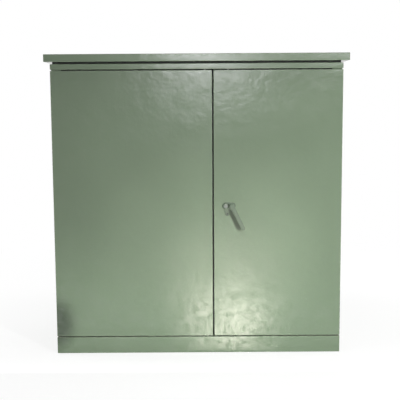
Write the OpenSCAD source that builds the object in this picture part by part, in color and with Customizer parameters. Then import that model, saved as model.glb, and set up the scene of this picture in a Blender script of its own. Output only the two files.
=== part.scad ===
// Pad-mounted distribution transformer: a two-door terminal cabinet in front of an oil tank that
// carries two radiators on its back. Millimetres, +Z up, the doors face -Y.
// The origin is the middle of the footprint at pad level.

/* [Cabinet] */
// Width over the doors and side panels
body_w = 1640; // [1600:10:1700]
// Height to the top of the cap's front edge
front_h = 1715; // [1700:5:1760]
// Depth from the door faces to the front of the tank
cabinet_d = 560; // [530:10:620]
// Thickness of the cabinet sheet
sheet_t = 3; // [2:0.5:4]
// Height of the sill below the doors
sill_h = 95; // [80:1:110]
// Gap between the sill and the doors
sill_gap = 6; // [5:0.5:9]
// Height of the header above the doors
header_h = 31; // [28:1:40]
// Gap between the doors and the header
top_gap = 6; // [5:0.5:9]
// Width of the posts that the doors hang on
jamb_w = 50; // [46:1:56]
// Depth of the door posts and the centre post
jamb_d = 35; // [28:1:40]
// Width of the post behind the gap between the doors
post_w = 60; // [56:1:70]
// Height of the stop strips behind the door ends
stop_h = 35; // [32:1:45]
// Width of the turned-in edges that carry the roof
edge_flange_w = 40; // [36:1:46]
// Lap of each side panel on the tank front
flange_lap = 50; // [46:1:60]
// Thickness of the barrier between the two compartments
barrier_t = 4; // [3:0.5:6]
// Space left above and below the barrier
barrier_edge = 20; // [12:1:30]

/* [Roof] */
// Height of the cap's front edge
cap_h = 42; // [38:1:55]
// Shadow gap between the header and the cap
cap_reveal = 11; // [6:1:12]
// Overhang of the cap at the front and sides
cap_overhang = 30; // [24:1:40]
// Overhang of the cap behind the tank front
cap_back = 14; // [10:1:20]
// Rise of the roof from front to back
roof_rise = 14; // [4:1:20]
// Width of the lip turned in under the cap
cap_lip_w = 75; // [70:1:85]
// Width of the roof seal
seal_w = 20; // [14:1:22]
// Setback of the roof seal from the cabinet faces
seal_inset = 12; // [9:1:14]

/* [Doors] */
// Right door's width, from the middle of the door gap
lv_leaf_w = 731; // [715:1:745]
// Gap between the two doors
door_gap = 8; // [6:0.5:10]
// Depth of the folded door edges
door_d = 32; // [31:0.5:34]
// Width of the inner lip round each door
lip_w = 30; // [29:0.5:32]
// Thickness of the door seals
gasket_t = 8; // [8:0.5:10]
// Width of the door seals
gasket_w = 12; // [8:1:13]
// Distance of the door seals from the free door edges
gasket_edge = 9; // [8:0.5:10]
// Width of the crown of a door stiffener
rib_w = 40; // [30:1:60]
// Width of each foot of a door stiffener
rib_foot_w = 14; // [10:1:20]
// Depth of the door stiffeners
rib_d = 18; // [12:1:22]
// Distance from one stiffener to the next and to the hinged edge
rib_pitch = 300; // [280:5:310]
// Distance of the stiffeners from the door ends
rib_end = 130; // [115:5:150]

/* [Hinges] */
// Distance of the hinge pins from the door's edge and face
hinge_inset = 14; // [13.5:0.5:15]
// Radius of the hinge pins
hinge_pin_r = 5; // [4:0.5:5.5]
// Radius of the hinge knuckles
hinge_eye_r = 9; // [8:0.5:9.5]
// Height of one knuckle
hinge_h = 30; // [24:1:40]
// Distance of the outer hinges from the door ends
hinge_end = 190; // [180:5:260]
// Radius of the pin heads
hinge_head_r = 8; // [7:0.5:9]
// Thickness of the pin heads
hinge_head_t = 4; // [3:0.5:6]
// Radial clearance of parts that turn in a bore
run_gap = 0.05; // [0.03:0.01:0.08]

/* [Handle and latch] */
// Distance of the handle from the right door's free edge
hub_inset = 103; // [96:1:112]
// Height of the handle above the pad
handle_z = 859; // [845:1:875]
// Length of the lever from hub to tip
lever_len = 150; // [130:1:170]
// Width of the lever at the hub
lever_w = 24; // [20:1:30]
// Width of the lever at the tip
lever_tip_w = 20; // [14:1:24]
// Thickness of the lever
lever_t = 12; // [8:1:16]
// Angle of the lever from straight down
lever_rest = 27; // [22:1:30]
// Space from the door face to the back of the lever
handle_standoff = 34; // [28:1:42]
// Radius of the handle's neck
hub_r = 15; // [12:0.5:16]
// Radius of the handle's spindle
spindle_r = 7; // [6:0.5:7.5]
// Width of the square end of the spindle
spindle_sq = 8; // [7:0.5:8.5]
// Distance from the spindle to the key lock
lock_pitch = 35; // [34:1:42]
// Radius of the lock plug
lock_r = 11; // [9:0.5:13]
// Radius of the ring round the lock
lock_ring_r = 17; // [16:0.5:18]
// Height of the ring round the lock above its plate
lock_ring_h = 10; // [6:1:14]
// Thickness of the handle's plate
plate_t = 5; // [4:0.5:8]
// Radius of the ends of the handle's plate
plate_r = 20; // [19:0.5:24]
// Radius of the ear that takes the plate's fixing screw
ear_r = 13; // [11:0.5:15]
// Distance of the fixing screw below the lock
ear_drop = 45; // [42:1:50]
// Radius of the fixing screw's hole
ear_hole_r = 5; // [4:0.5:6]
// Distance of the latch pins from the spindle
cam_r = 24; // [24:0.5:26]
// Radius of the latch pins
cam_pin_r = 3.5; // [3:0.5:4]
// Thickness of the latch cam
cam_t = 5; // [3:0.5:5]
// Radius of the latch rods and bolts
rod_r = 6; // [5:0.5:6.5]
// Distance of the rods behind the door face
rod_depth = 16; // [15:0.5:16.5]
// Thickness of the yokes on the latch rods
yoke_t = 6; // [4:0.5:7]
// Clearance from a withdrawn rod tip to its keeper
tip_gap = 3; // [2:0.5:3.5]
// Distance of the left door's bolts from its free edge
bolt_inset = 40; // [38:1:60]
// Length of the left door's bolts
bolt_len = 240; // [220:5:260]
// Distance of the stay pivots from the hinged door edges
stay_pivot = 460; // [450:5:480]
// Length of the door stays
stay_len = 380; // [320:5:390]
// Radius of the stay rods
stay_r = 4; // [3:0.5:5]
// Height of the stays above the door bottom
stay_rise = 75; // [70:1:85]

/* [Tank] */
// Width of the tank
tank_w = 1500; // [1440:10:1520]
// Depth of the tank
tank_d = 560; // [540:10:640]
// Thickness of the tank plate
tank_t = 6; // [5:0.5:8]
// Distance of the tank rim below the top of the cabinet
rim_drop = 62; // [52:1:120]
// Width of the rim outside the tank walls
rim_out = 40; // [36:1:48]
// Width of the rim inside the tank walls
rim_in = 40; // [30:1:50]
// Width of the rim behind the tank front
rim_front = 60; // [54:1:70]
// Thickness of the rim
rim_t = 10; // [8:0.5:14]
// Thickness of the tank cover
cover_t = 8; // [6:0.5:12]
// Thickness of the cover seal
cover_seal_t = 5; // [3:0.5:8]
// Radius of the cover studs
stud_r = 6; // [5:0.5:7]
// Number of studs along each long side of the cover
stud_rows = 9; // [5:1:12]
// Number of studs along each short side of the cover
stud_cols = 3; // [2:1:5]
// Height of the skids under the tank
skid_h = 80; // [60:1:100]
// Width of a skid
skid_w = 60; // [56:1:80]
// Distance of each skid from the middle
skid_x = 500; // [420:5:560]
// Thickness of the skid feet and flanges
skid_t = 10; // [8:0.5:14]
// Length of the skid feet beyond the tank
foot_out = 110; // [100:5:130]
// Distance of the anchor holes from the tank
anchor_out = 70; // [60:1:75]
// Radius of the anchor holes
anchor_r = 11; // [9:0.5:13]
// Reach of the lifting lugs from the tank sides
lug_w = 62; // [56:1:66]
// Height of the lifting lugs
lug_h = 130; // [110:5:160]
// Thickness of the lifting lugs
lug_t = 16; // [12:1:20]
// Radius of the lifting holes
lug_r = 16; // [12:0.5:18]
// Distance of the lifting holes below the tank rim
lug_drop = 160; // [130:5:220]
// Distance of the lifting lugs from the tank corners
lug_end = 110; // [80:5:150]

/* [Radiators] */
// Width of a radiator plate
rad_w = 640; // [560:10:660]
// Height of a radiator plate
rad_h = 1150; // [1000:10:1250]
// Height of the plates above the pad
rad_z = 250; // [200:5:280]
// Number of plates in a radiator
rad_plates = 6; // [3:1:8]
// Distance from one plate to the next
rad_pitch = 45; // [36:1:55]
// Distance of the first plate from the tank
rad_stub = 70; // [50:1:90]
// Number of oil channels across a plate
rad_flutes = 8; // [5:1:10]
// Thickness of a plate at an oil channel
rad_plate_t = 11; // [8:0.5:14]
// Thickness of a plate at the seams between channels
rad_seam_t = 3; // [2:0.5:4]
// Radius of the oil pipes
rad_pipe_r = 35; // [28:1:42]
// Distance of the oil pipes from the plate ends
rad_pipe_end = 75; // [60:1:100]
// Distance of each radiator from the middle
rad_x = 345; // [335:1:360]

/* [Core and windings] */
// Width and depth of a core limb
limb_w = 180; // [160:2:184]
// Distance between the core limbs
limb_pitch = 430; // [424:2:450]
// Height of the space between the yokes
window_h = 720; // [660:10:740]
// Space under the core
core_foot = 40; // [30:1:60]
// Inside radius of the inner windings
lv_wind_ri = 135; // [134:1:140]
// Outside radius of the inner windings
lv_wind_ro = 160; // [150:1:164]
// Inside radius of the outer windings
hv_wind_ri = 170; // [168:1:176]
// Outside radius of the outer windings
hv_wind_ro = 206; // [196:1:208]
// Space above and below each winding
wind_end = 20; // [12:1:30]
// Space from the windings to the back of the tank
core_back = 40; // [30:1:60]
// Height of the core clamps
clamp_h = 90; // [70:1:120]
// Thickness of the core clamps
clamp_t = 28; // [20:1:36]
// Radius of the tie rods
tie_r = 9; // [7:0.5:11]

/* [Terminals and controls] */
// Distance between the primary bushings
hv_pitch = 140; // [130:1:150]
// Height of the primary bushings
hv_z = 760; // [720:5:800]
// Reach of the primary bushings
hv_len = 200; // [170:5:210]
// Height of the fuses
fuse_z = 1310; // [1290:5:1340]
// Bore radius of the fuse housings
fuse_bore_r = 20; // [18:0.5:22]
// Wall of the fuse housings
fuse_wall = 8; // [6:0.5:9]
// Length of the fuse housings inside the tank
fuse_in = 260; // [220:5:300]
// Length of the fuse housings outside the tank
fuse_out = 70; // [55:1:80]
// Distance between the secondary bushings
lv_pitch = 140; // [126:1:140]
// Height of the secondary bushings
lv_z = 900; // [860:5:940]
// Reach of the secondary bushings
lv_len = 105; // [90:1:115]
// Radius of the terminal studs
lv_stud_r = 12; // [10:0.5:14]
// Length of a terminal blade
blade_len = 125; // [118:1:135]
// Height of a terminal blade
blade_h = 100; // [92:1:112]
// Thickness of a terminal blade
blade_t = 12; // [10:0.5:16]
// Distance between the holes in a terminal blade or ground pad
blade_pitch = 44.5; // [40:0.5:48]
// Radius of the holes in a terminal blade
blade_hole_r = 7.2; // [6:0.2:8]
// Height of the ground pads
ground_z = 270; // [260:5:300]
// Height of the switch handle
switch_z = 1010; // [980:5:1040]
// Height of the tap-changer handle
tap_z = 760; // [730:5:790]
// Radius of the control shafts
control_r = 10; // [8:0.5:12]
// Length of the switch handle
switch_len = 180; // [150:5:200]
// Length of the tap-changer handle
tap_len = 100; // [80:5:120]
// Height of the gauges
gauge_z = 1340; // [1300:5:1370]
// Radius of the gauges
gauge_r = 48; // [40:1:54]
// Distance from the gauges to each other and to the relief valve
gauge_pitch = 150; // [140:1:160]
// Height of the drain valve
valve_z = 230; // [210:5:250]
// Radius of the valve pipe
valve_r = 17; // [14:0.5:20]
// Radius of the handwheel
wheel_r = 42; // [34:1:48]

/* [Hidden] */
$fn = 48;
paint = "#84937f";
steel = "#b9bcbc";
chrome = "#d4d6d8";
black = "#1f2220";
copper = "#b5713f";
porcelain = "#6b3f2c";
brass = "#b08d48";
handle_red = "#a8352b";
pointer_red = "#c23a2c";
fuse_gold = "#c8a83c";
glass = "#dfe8ea";
core_steel = "#70757a";
enamel_wire = "#c9a26a";
clamp_steel = "#5d6a72";
cut = 1;
rub = 0.5;
bolt_clear = 0.6;
rod_clear = 0.4;
keeper_clear = 3.5;
rail_spare = 5;
arm_back = 2;
notch_gap = 2;
nut_r = 10;
nut_t = 9;
stud_end = 4;
frame_off = door_d + gasket_t;
rail_d = frame_off + jamb_d + rail_spare;
hw = body_w / 2;
inner_hw = hw - sheet_t;
stop_hw = inner_hw - jamb_w;
handle_front = handle_standoff + lever_t;
rad_cap_lap = 4;
rad_cap = rad_plate_t + rad_cap_lap;
rad_d = rad_stub + (rad_plates - 1) * rad_pitch + rad_cap;
depth_all = handle_front + cabinet_d + tank_d + rad_d;
door_y = handle_front - depth_all / 2;
frame_y = door_y + frame_off;
flange_y = door_y + rail_d;
tank_y = door_y + cabinet_d;
rear_y = tank_y + tank_d;
cap_z = front_h - cap_h;
header_top = cap_z - cap_reveal;
header_z = header_top - header_h;
rim_z = header_top - rim_drop;
lug_z = rim_z - lug_drop;
door_z0 = sill_h + sill_gap;
door_z1 = header_z - top_gap;
door_h = door_z1 - door_z0;
sill_stop_z = door_z0 + stop_h;
header_stop_z = door_z1 - stop_h;
post_h = header_top - 2 * sheet_t;
split_x = hw - lv_leaf_w;
hv_edge = split_x - door_gap / 2;
lv_edge = split_x + door_gap / 2;
cap_w = body_w + 2 * cap_overhang;
cap_y0 = door_y - cap_overhang;
cap_y1 = tank_y + tank_t + cap_back;
seal_back = 8;
side_flange_w = max(hw - tank_w / 2, 0) + flange_lap;
panel_stud_x = hw - side_flange_w + flange_lap / 2;
roof_edge_gap = 2;
roof_edge_x = hw - side_flange_w - roof_edge_gap;
panel_stud_end = 150;
panel_studs = 6;
panel_stud_pitch = (header_top - 2 * panel_stud_end) / (panel_studs - 1);
panel_stud_z = [for (i = [0 : panel_studs - 1]) panel_stud_end + i * panel_stud_pitch];
axis_x = hw - hinge_inset;
axis_y = door_y + hinge_inset;
hinge_zs = [door_z0 + hinge_end, (door_z0 + door_z1) / 2, door_z1 - hinge_end];
notch_w = hinge_inset + hinge_eye_r + cut;
gasket_hinge = hinge_inset + door_d / 2;
hub_x = lv_edge + hub_inset;
rod_y = door_y + rod_depth;
ear_in = 9;
ear_x = ear_in - lock_pitch;
lever_mid = 45 - lever_rest;
rod_rate = 2 * cam_r * sin(45) / 90;
slot_play = 1.1;
slot_h = 2 * (cam_pin_r + slot_play);
slot_spare = 1;
slot_w = cam_r * (1 - cos(45)) + 2 * cam_pin_r + slot_spare;
yoke_wall = 4;
yoke_x = cam_r * (1 + cos(45)) / 2;
yoke_w = slot_w + 2 * yoke_wall;
yoke_h = slot_h + 2 * yoke_wall;
yoke_back = rod_depth + yoke_t / 2;
cam_gap = 1;
cam_front = rod_depth + rod_r + cam_gap;
upper_rod_x = hub_x - yoke_x;
lower_rod_x = hub_x + yoke_x;
hv_bolt_x = hv_edge - bolt_inset;
guide_end = 50;
guide_tip = 40;
guide_w = 32;
guide_h = 14;
guide_wall = 4;
guide_back = rod_depth + rod_r + guide_wall;
stay_z = door_z0 + stay_rise;
stay_eye_h = 12;
stay_eye_wall = 5;
stay_eye_r = stay_r + stay_eye_wall;
stay_hook = 16;
core_y = rear_y - tank_t - core_back - hv_wind_ro;
core_z = skid_h + tank_t + core_foot;
core_h = window_h + 2 * limb_w;
core_w = 2 * limb_pitch + limb_w;
hv_bay_x = (split_x - tank_w / 2) / 2;
lv_bay_x = (split_x + tank_w / 2) / 2;
hv_shift = -70;
hv_xs = [for (i = [-1 : 1]) hv_bay_x + hv_shift + i * hv_pitch];
lv_xs = [for (i = [0 : 3]) lv_bay_x + (i - 1.5) * lv_pitch];
control_shift = 240;
control_x = hv_bay_x + control_shift;
gauge_xs = [lv_bay_x - gauge_pitch, lv_bay_x];
relief_x = lv_bay_x + gauge_pitch;
valve_x = lv_xs[3];
strap_x = lv_xs[0];
ground_xs = [hv_xs[1], strap_x + blade_pitch / 2];
ground_w = 90;
ground_h = 50;
ground_t = 12;
hv_in = 60;
hv_neck_r = 30;
hv_bevel = 4;
hv_flange_out = 22;
hv_flange_t = 10;
hv_collar_out = 12;
hv_collar_z = hv_flange_t + hv_bevel;
hv_collar_end = 40;
hv_skirt_out = 5;
hv_skirt_z = 46;
hv_skirt_end = 60;
hv_tip_in = 8;
hv_tip_bevel = 3;
hv_tip_end = 5;
hv_socket_r = 8;
hv_socket_d = 50;
lv_in = 50;
lv_neck_r = 26;
lv_foot_out = 20;
lv_foot_t = 12;
lv_root_out = 5;
lv_shed_out = 15;
lv_shed_t = 5;
lv_shed_pitch = 28;
lv_stud_in = 75;
fuse_ro = fuse_bore_r + fuse_wall;
fuse_flange_out = 16;
fuse_flange_t = 9;
fuse_lip_out = 5;
fuse_lip_len = 20;
fuse_tip = 30;
fuse_cap_out = 3;
fuse_cap_len = 24;
fuse_eye_r = 22;
fuse_eye_hole_r = 13;
fuse_eye_t = 12;
fuse_eye_sink = 4;
strap_t = 4;
strap_w = 40;
strap_over = 4;
control_in = 55;
control_out = 55;
control_wall = 12;
control_hub_h = 22;
control_arm_t = 12;
control_arm_z = control_out + control_hub_h - control_arm_t;
switch_w = 28;
switch_hole_r = 8;
tap_w = 22;
tap_knob_r = 9;
tap_knob_h = 40;
tap_knob_end = 12;
tap_rest = 72;
control_tube_r = control_r + control_wall;
boss_lap = 20;
boss_r = control_tube_r + boss_lap;
boss_t = 8;
boss_root = 10;
boss_in = tank_t + boss_root;
stand_w = 30;
stand_h = 70;
stand_t = 4;
stand_reach = 60;
gauge_stem_r = 14;
gauge_stem_in = 50;
gauge_d = 42;
gauge_recess = 8;
gauge_glass_t = 2;
gauge_flange_out = 8;
gauge_flange_t = 8;
gauge_bezel = 5;
pointer_pin_r = 3;
pointer_t = 2;
pointer_tip_gap = 12;
pointer_tail = 12;
pointer_tail_w = 6;
pointer_tip_w = 1.2;
thermometer_rest = 100;
relief_r = 14;
relief_out = 60;
relief_stem_r = 4;
relief_in = 20;
relief_hex_out = 10;
relief_hex_t = 18;
relief_body_out = 4;
relief_bore_z = 10;
relief_ring_r = 14;
relief_wire_r = 2.5;
valve_out = 80;
valve_in = 25;
valve_flange_out = 14;
valve_flange_t = 8;
valve_body_out = 12;
valve_body_len = 45;
valve_plug_out = 3;
valve_plug_len = 20;
valve_bonnet_out = 3;
valve_bonnet_h = 50;
valve_stem_off = 22;
valve_stem_y = tank_y - valve_out - valve_stem_off;
wheel_rod_r = 6;
wheel_z = 78;
wheel_hub_h = 16;
wheel_rim_r = 6;
wheel_spokes = 3;
wheel_spoke_w = 10;
wheel_spoke_t = 6;

// Places children on the tank front, with their z axis pointing out towards the doors
module at_front(x, z) {
    translate([x, tank_y, z]) rotate([90, 0, 0]) children();
}

// Places children on the door face, with their z axis pointing out
module at_door(x, z) {
    translate([x, door_y, z]) rotate([90, 0, 0]) children();
}

// Draws children on the right and again on the left
module both_sides() {
    children();
    mirror([1, 0, 0]) children();
}

// A box given by its lowest and highest corners
module block(a, b) {
    translate(a) cube(b - a);
}

module side_sheet() {
    difference() {
        union() {
            block([inner_hw, frame_y, 0], [hw, tank_y, header_top]);
            block([hw - side_flange_w, tank_y - sheet_t, 0], [hw, tank_y, header_top]);
            block([hw - edge_flange_w, flange_y, header_top - sheet_t], [hw, tank_y, header_top]);
            block([hw - edge_flange_w, flange_y, 0], [hw, tank_y, sheet_t]);
        }
        for (z = panel_stud_z) {
            at_front(panel_stud_x, z) cylinder(r = stud_r + bolt_clear, h = 2 * sheet_t + cut);
        }
    }
}

module side_panel_left() {
    color(paint) mirror([1, 0, 0]) side_sheet();
}

module side_panel_right() {
    color(paint) side_sheet();
}

module post_tube(w, d) {
    difference() {
        cube([w, d, post_h]);
        block([sheet_t, sheet_t, -cut], [w - sheet_t, d - sheet_t, post_h + cut]);
    }
}

module door_jambs() {
    color(paint) both_sides() translate([stop_hw, frame_y, sheet_t]) post_tube(jamb_w, jamb_d);
}

module rail_ends(z0, z1) {
    both_sides() block([inner_hw, door_y, z0], [hw, frame_y, z1]);
}

module header_beam() {
    color(paint) difference() {
        union() {
            block([-hw, door_y, header_z], [hw, door_y + sheet_t, header_top]);
            block([-hw, door_y, header_z], [hw, frame_y, header_z + sheet_t]);
            block([-hw, door_y, header_top - sheet_t], [hw, frame_y, header_top]);
            block([-inner_hw, door_y, header_top - sheet_t], [inner_hw, flange_y, header_top]);
            rail_ends(header_z, header_top);
        }
        for (x = [upper_rod_x, hv_bolt_x]) {
            translate([x, rod_y, header_z - cut])
                cylinder(r = rod_r + keeper_clear, h = sheet_t + 2 * cut);
        }
    }
}

module front_sill() {
    color(paint) difference() {
        union() {
            block([-hw, door_y, 0], [hw, door_y + sheet_t, sill_h]);
            block([-hw, door_y, sill_h - sheet_t], [hw, frame_y, sill_h]);
            block([-inner_hw, door_y, 0], [inner_hw, flange_y, sheet_t]);
            rail_ends(0, sill_h);
        }
        for (x = [lower_rod_x, hv_bolt_x]) {
            translate([x, rod_y, sill_h - sheet_t - cut])
                cylinder(r = rod_r + keeper_clear, h = sheet_t + 2 * cut);
        }
    }
}

// Strips on the backs of the header and sill that the door ends close against
module door_stops() {
    color(paint) {
        block([-stop_hw, frame_y, header_stop_z], [stop_hw, frame_y + sheet_t, header_top - sheet_t]);
        block([-stop_hw, frame_y, sheet_t], [stop_hw, frame_y + sheet_t, sill_stop_z]);
    }
}

module centre_post() {
    x0 = split_x - post_w / 2;
    color(paint) union() {
        translate([x0, frame_y + sheet_t, sheet_t]) post_tube(post_w, jamb_d - sheet_t);
        block([x0, frame_y, sill_stop_z], [x0 + post_w, frame_y + 2 * sheet_t, header_stop_z]);
    }
}

module barrier_panel() {
    color(paint) block(
        [split_x - barrier_t / 2, frame_y + jamb_d, barrier_edge],
        [split_x + barrier_t / 2, tank_y, header_top - barrier_edge]
    );
}

// Sloping slab, w wide, cut back by t on every face
module cap_slab(w, t) {
    translate([-w / 2, 0, 0]) rotate([90, 0, 90]) linear_extrude(w) polygon([
        [cap_y0 + t, cap_z + t],
        [cap_y1 - t, cap_z + t],
        [cap_y1 - t, front_h + roof_rise - t],
        [cap_y0 + t, front_h - t]
    ]);
}

module roof_cap() {
    color(paint) difference() {
        cap_slab(cap_w, 0);
        cap_slab(cap_w - 2 * sheet_t, sheet_t);
        block(
            [cap_lip_w - cap_w / 2, cap_y0 + cap_lip_w, cap_z - cut],
            [cap_w / 2 - cap_lip_w, cap_y1 - cap_lip_w, cap_z + sheet_t + cut]
        );
    }
}

module roof_seal_ring() {
    x = hw - seal_inset;
    y0 = door_y + seal_inset;
    y1 = tank_y - seal_back;
    difference() {
        block([-x, y0, header_top], [x, y1, cap_z]);
        block([seal_w - x, y0 + seal_w, header_top - cut], [x - seal_w, y1 - seal_w, cap_z + cut]);
    }
}

// Stud with its nut, standing on z = 0 and clamping what is below the height t
module stud(t) {
    cylinder(r = stud_r, h = t + nut_t + stud_end);
    translate([0, 0, t]) cylinder(r = nut_r, h = nut_t, $fn = 6);
}

module cabinet_bolts() {
    color(steel) both_sides() for (z = panel_stud_z) {
        at_front(panel_stud_x, z) stud(sheet_t);
    }
}

module gasket_ring(x0, x1) {
    y0 = door_y + door_d + rub;
    z0 = door_z0 + gasket_edge;
    z1 = door_z1 - gasket_edge;
    difference() {
        block([x0, y0, z0], [x1, frame_y, z1]);
        block(
            [x0 + gasket_w, y0 - cut, z0 + gasket_w],
            [x1 - gasket_w, frame_y + cut, z1 - gasket_w]
        );
    }
}

module cabinet_seals() {
    color(black) {
        roof_seal_ring();
        gasket_ring(gasket_hinge - hw, hv_edge - gasket_edge);
        gasket_ring(lv_edge + gasket_edge, hw - gasket_hinge);
    }
}

module hinge_brackets() {
    color(paint) both_sides() for (z = hinge_zs) translate([axis_x, axis_y, z - hinge_h / 2]) {
        difference() {
            union() {
                cylinder(r = hinge_eye_r, h = hinge_h);
                block([-hinge_eye_r, 0, 0], [arm_back, frame_y - axis_y, hinge_h]);
            }
            translate([0, 0, -cut]) cylinder(r = hinge_pin_r, h = hinge_h + 2 * cut);
        }
    }
}

module hinge_pins() {
    color(steel) both_sides() for (z = hinge_zs) {
        translate([axis_x, axis_y, z - hinge_h / 2 - hinge_head_t]) {
            cylinder(r = hinge_head_r, h = hinge_head_t);
            cylinder(r = hinge_pin_r, h = hinge_head_t + 2 * hinge_h + stud_end);
        }
    }
}

module hinge_leaves() {
    reach = hinge_inset - sheet_t;
    for (z = hinge_zs) translate([axis_x, axis_y, z + hinge_h / 2 + rub]) difference() {
        union() {
            cylinder(r = hinge_eye_r, h = hinge_h);
            block([-hinge_eye_r, -reach, 0], [hinge_eye_r, 0, hinge_h]);
        }
        translate([0, 0, -cut]) cylinder(r = hinge_pin_r + run_gap, h = hinge_h + 2 * cut);
    }
}

module hv_hinge_leaves() {
    color(paint) mirror([1, 0, 0]) hinge_leaves();
}

module lv_hinge_leaves() {
    color(paint) hinge_leaves();
}

// Folded door with its lip, hinged on the right at x = hw and ending at x = x0
module door_pan(x0) {
    y1 = door_y + door_d;
    difference() {
        block([x0, door_y, door_z0], [hw, y1, door_z1]);
        block(
            [x0 + sheet_t, door_y + sheet_t, door_z0 + sheet_t],
            [hw - sheet_t, y1 - sheet_t, door_z1 - sheet_t]
        );
        block([x0 + lip_w, door_y + sheet_t, door_z0 + lip_w], [hw - lip_w, y1 + cut, door_z1 - lip_w]);
        for (z = hinge_zs) {
            block(
                [hw - notch_w, door_y + sheet_t, z - hinge_h / 2 - notch_gap],
                [hw + cut, y1 + cut, z + hinge_h / 2 + notch_gap]
            );
        }
    }
}

module door_rib(x) {
    foot = rib_w / 2 + rib_foot_w;
    y0 = sheet_t / 2;
    translate([x, door_y, door_z0 + rib_end]) linear_extrude(door_h - 2 * rib_end) polygon([
        [-foot, y0],
        [-foot, 2 * sheet_t],
        [-rib_w / 2, 2 * sheet_t],
        [-rib_w / 2, sheet_t + rib_d],
        [rib_w / 2, sheet_t + rib_d],
        [rib_w / 2, 2 * sheet_t],
        [foot, 2 * sheet_t],
        [foot, y0],
        [rib_w / 2 - sheet_t, y0],
        [rib_w / 2 - sheet_t, rib_d],
        [sheet_t - rib_w / 2, rib_d],
        [sheet_t - rib_w / 2, y0]
    ]);
}

module rod_guide(x, z) {
    block(
        [x - guide_w / 2, door_y + sheet_t / 2, z - guide_h / 2],
        [x + guide_w / 2, door_y + guide_back, z + guide_h / 2]
    );
}

module rod_hole(x, z0, z1) {
    translate([x, rod_y, z0]) cylinder(r = rod_r + rod_clear, h = z1 - z0);
}

// Bracket and upright pin that a door stay turns on
module stay_post() {
    x = hw - stay_pivot;
    z = stay_z - stay_eye_h / 2 - rub;
    block(
        [x - stay_eye_r, door_y + sheet_t / 2, z - guide_h],
        [x + stay_eye_r, rod_y + stay_eye_r, z]
    );
    translate([x, rod_y, z - cut]) cylinder(r = stay_r, h = stay_eye_h + cut + stud_end);
}

module hv_door() {
    guides = [bolt_len - guide_tip, guide_end];
    color(paint) difference() {
        union() {
            mirror([1, 0, 0]) {
                door_pan(-hv_edge);
                door_rib(hw - rib_pitch);
                door_rib(hw - 2 * rib_pitch);
                stay_post();
            }
            for (g = guides) {
                rod_guide(hv_bolt_x, door_z1 - g);
                rod_guide(hv_bolt_x, door_z0 + g);
            }
        }
        rod_hole(hv_bolt_x, door_z0 - cut, door_z1 + cut);
    }
}

module lv_door() {
    reach = 190;
    color(paint) difference() {
        union() {
            door_pan(lv_edge);
            door_rib(hw - rib_pitch);
            stay_post();
            for (z = [handle_z + reach, door_z1 - reach]) {
                rod_guide(upper_rod_x, z);
            }
            for (z = [handle_z - reach, door_z0 + reach]) {
                rod_guide(lower_rod_x, z);
            }
        }
        rod_hole(upper_rod_x, handle_z, door_z1 + cut);
        rod_hole(lower_rod_x, door_z0 - cut, handle_z);
        at_door(hub_x, handle_z) translate([0, 0, -sheet_t - cut])
            cylinder(r = spindle_r + cut, h = sheet_t + 2 * cut);
        at_door(hub_x - lock_pitch, handle_z) translate([0, 0, -sheet_t - cut])
            cylinder(r = lock_r + cut, h = sheet_t + 2 * cut);
    }
}

// Bolt running up from z = 0 at its foot to its tip, with a knob towards the inside
module slide_bolt() {
    cylinder(r = rod_r, h = bolt_len);
    translate([0, 0, bolt_len / 2]) rotate([-90, 0, 0]) cylinder(r = rod_r - cut, h = rod_depth - cut);
}

module hv_top_bolt() {
    color(steel) translate([hv_bolt_x, rod_y, header_z - tip_gap - bolt_len]) slide_bolt();
}

module hv_bottom_bolt() {
    color(steel) translate([hv_bolt_x, rod_y, sill_h + tip_gap]) slide_bolt();
}

module door_stay() {
    translate([hw - stay_pivot, rod_y, stay_z]) difference() {
        union() {
            translate([0, 0, -stay_eye_h / 2]) cylinder(r = stay_eye_r, h = stay_eye_h);
            rotate([0, 90, 0]) cylinder(r = stay_r, h = stay_len);
            translate([stay_len, 0, 0]) sphere(r = stay_r);
            translate([stay_len, 0, -stay_hook]) cylinder(r = stay_r, h = stay_hook);
        }
        translate([0, 0, -stay_eye_h]) cylinder(r = stay_r + run_gap, h = 2 * stay_eye_h);
    }
}

module hv_door_stay() {
    color(steel) mirror([1, 0, 0]) door_stay();
}

module lv_door_stay() {
    color(steel) door_stay();
}

module handle_plate() {
    color(chrome) at_door(hub_x, handle_z) difference() {
        union() {
            linear_extrude(plate_t) union() {
                circle(r = plate_r);
                translate([-lock_pitch, 0]) circle(r = plate_r);
                translate([-lock_pitch, -plate_r]) square([lock_pitch, 2 * plate_r]);
                translate([ear_x, -ear_drop]) circle(r = ear_r);
                polygon([
                    [-lock_pitch - plate_r / 2, 0], [ear_x - ear_r, -ear_drop],
                    [ear_x + ear_r, -ear_drop], [ear_x + ear_r, 0]
                ]);
            }
            translate([-lock_pitch, 0, 0]) cylinder(r = lock_ring_r, h = plate_t + lock_ring_h);
        }
        translate([0, 0, -cut]) cylinder(r = spindle_r + run_gap, h = plate_t + 2 * cut);
        translate([-lock_pitch, 0, -cut])
            cylinder(r = lock_r + run_gap, h = plate_t + lock_ring_h + 2 * cut);
        translate([ear_x, -ear_drop, -cut]) cylinder(r = ear_hole_r, h = plate_t + 2 * cut);
    }
}

module lever_outline() {
    tip_y = lever_tip_w / 2 - lever_len;
    union() {
        circle(r = lever_w / 2);
        polygon([
            [-lever_w / 2, 0], [-lever_tip_w / 2, tip_y], [lever_tip_w / 2, tip_y], [lever_w / 2, 0]
        ]);
        translate([0, tip_y]) circle(r = lever_tip_w / 2);
    }
}

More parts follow.
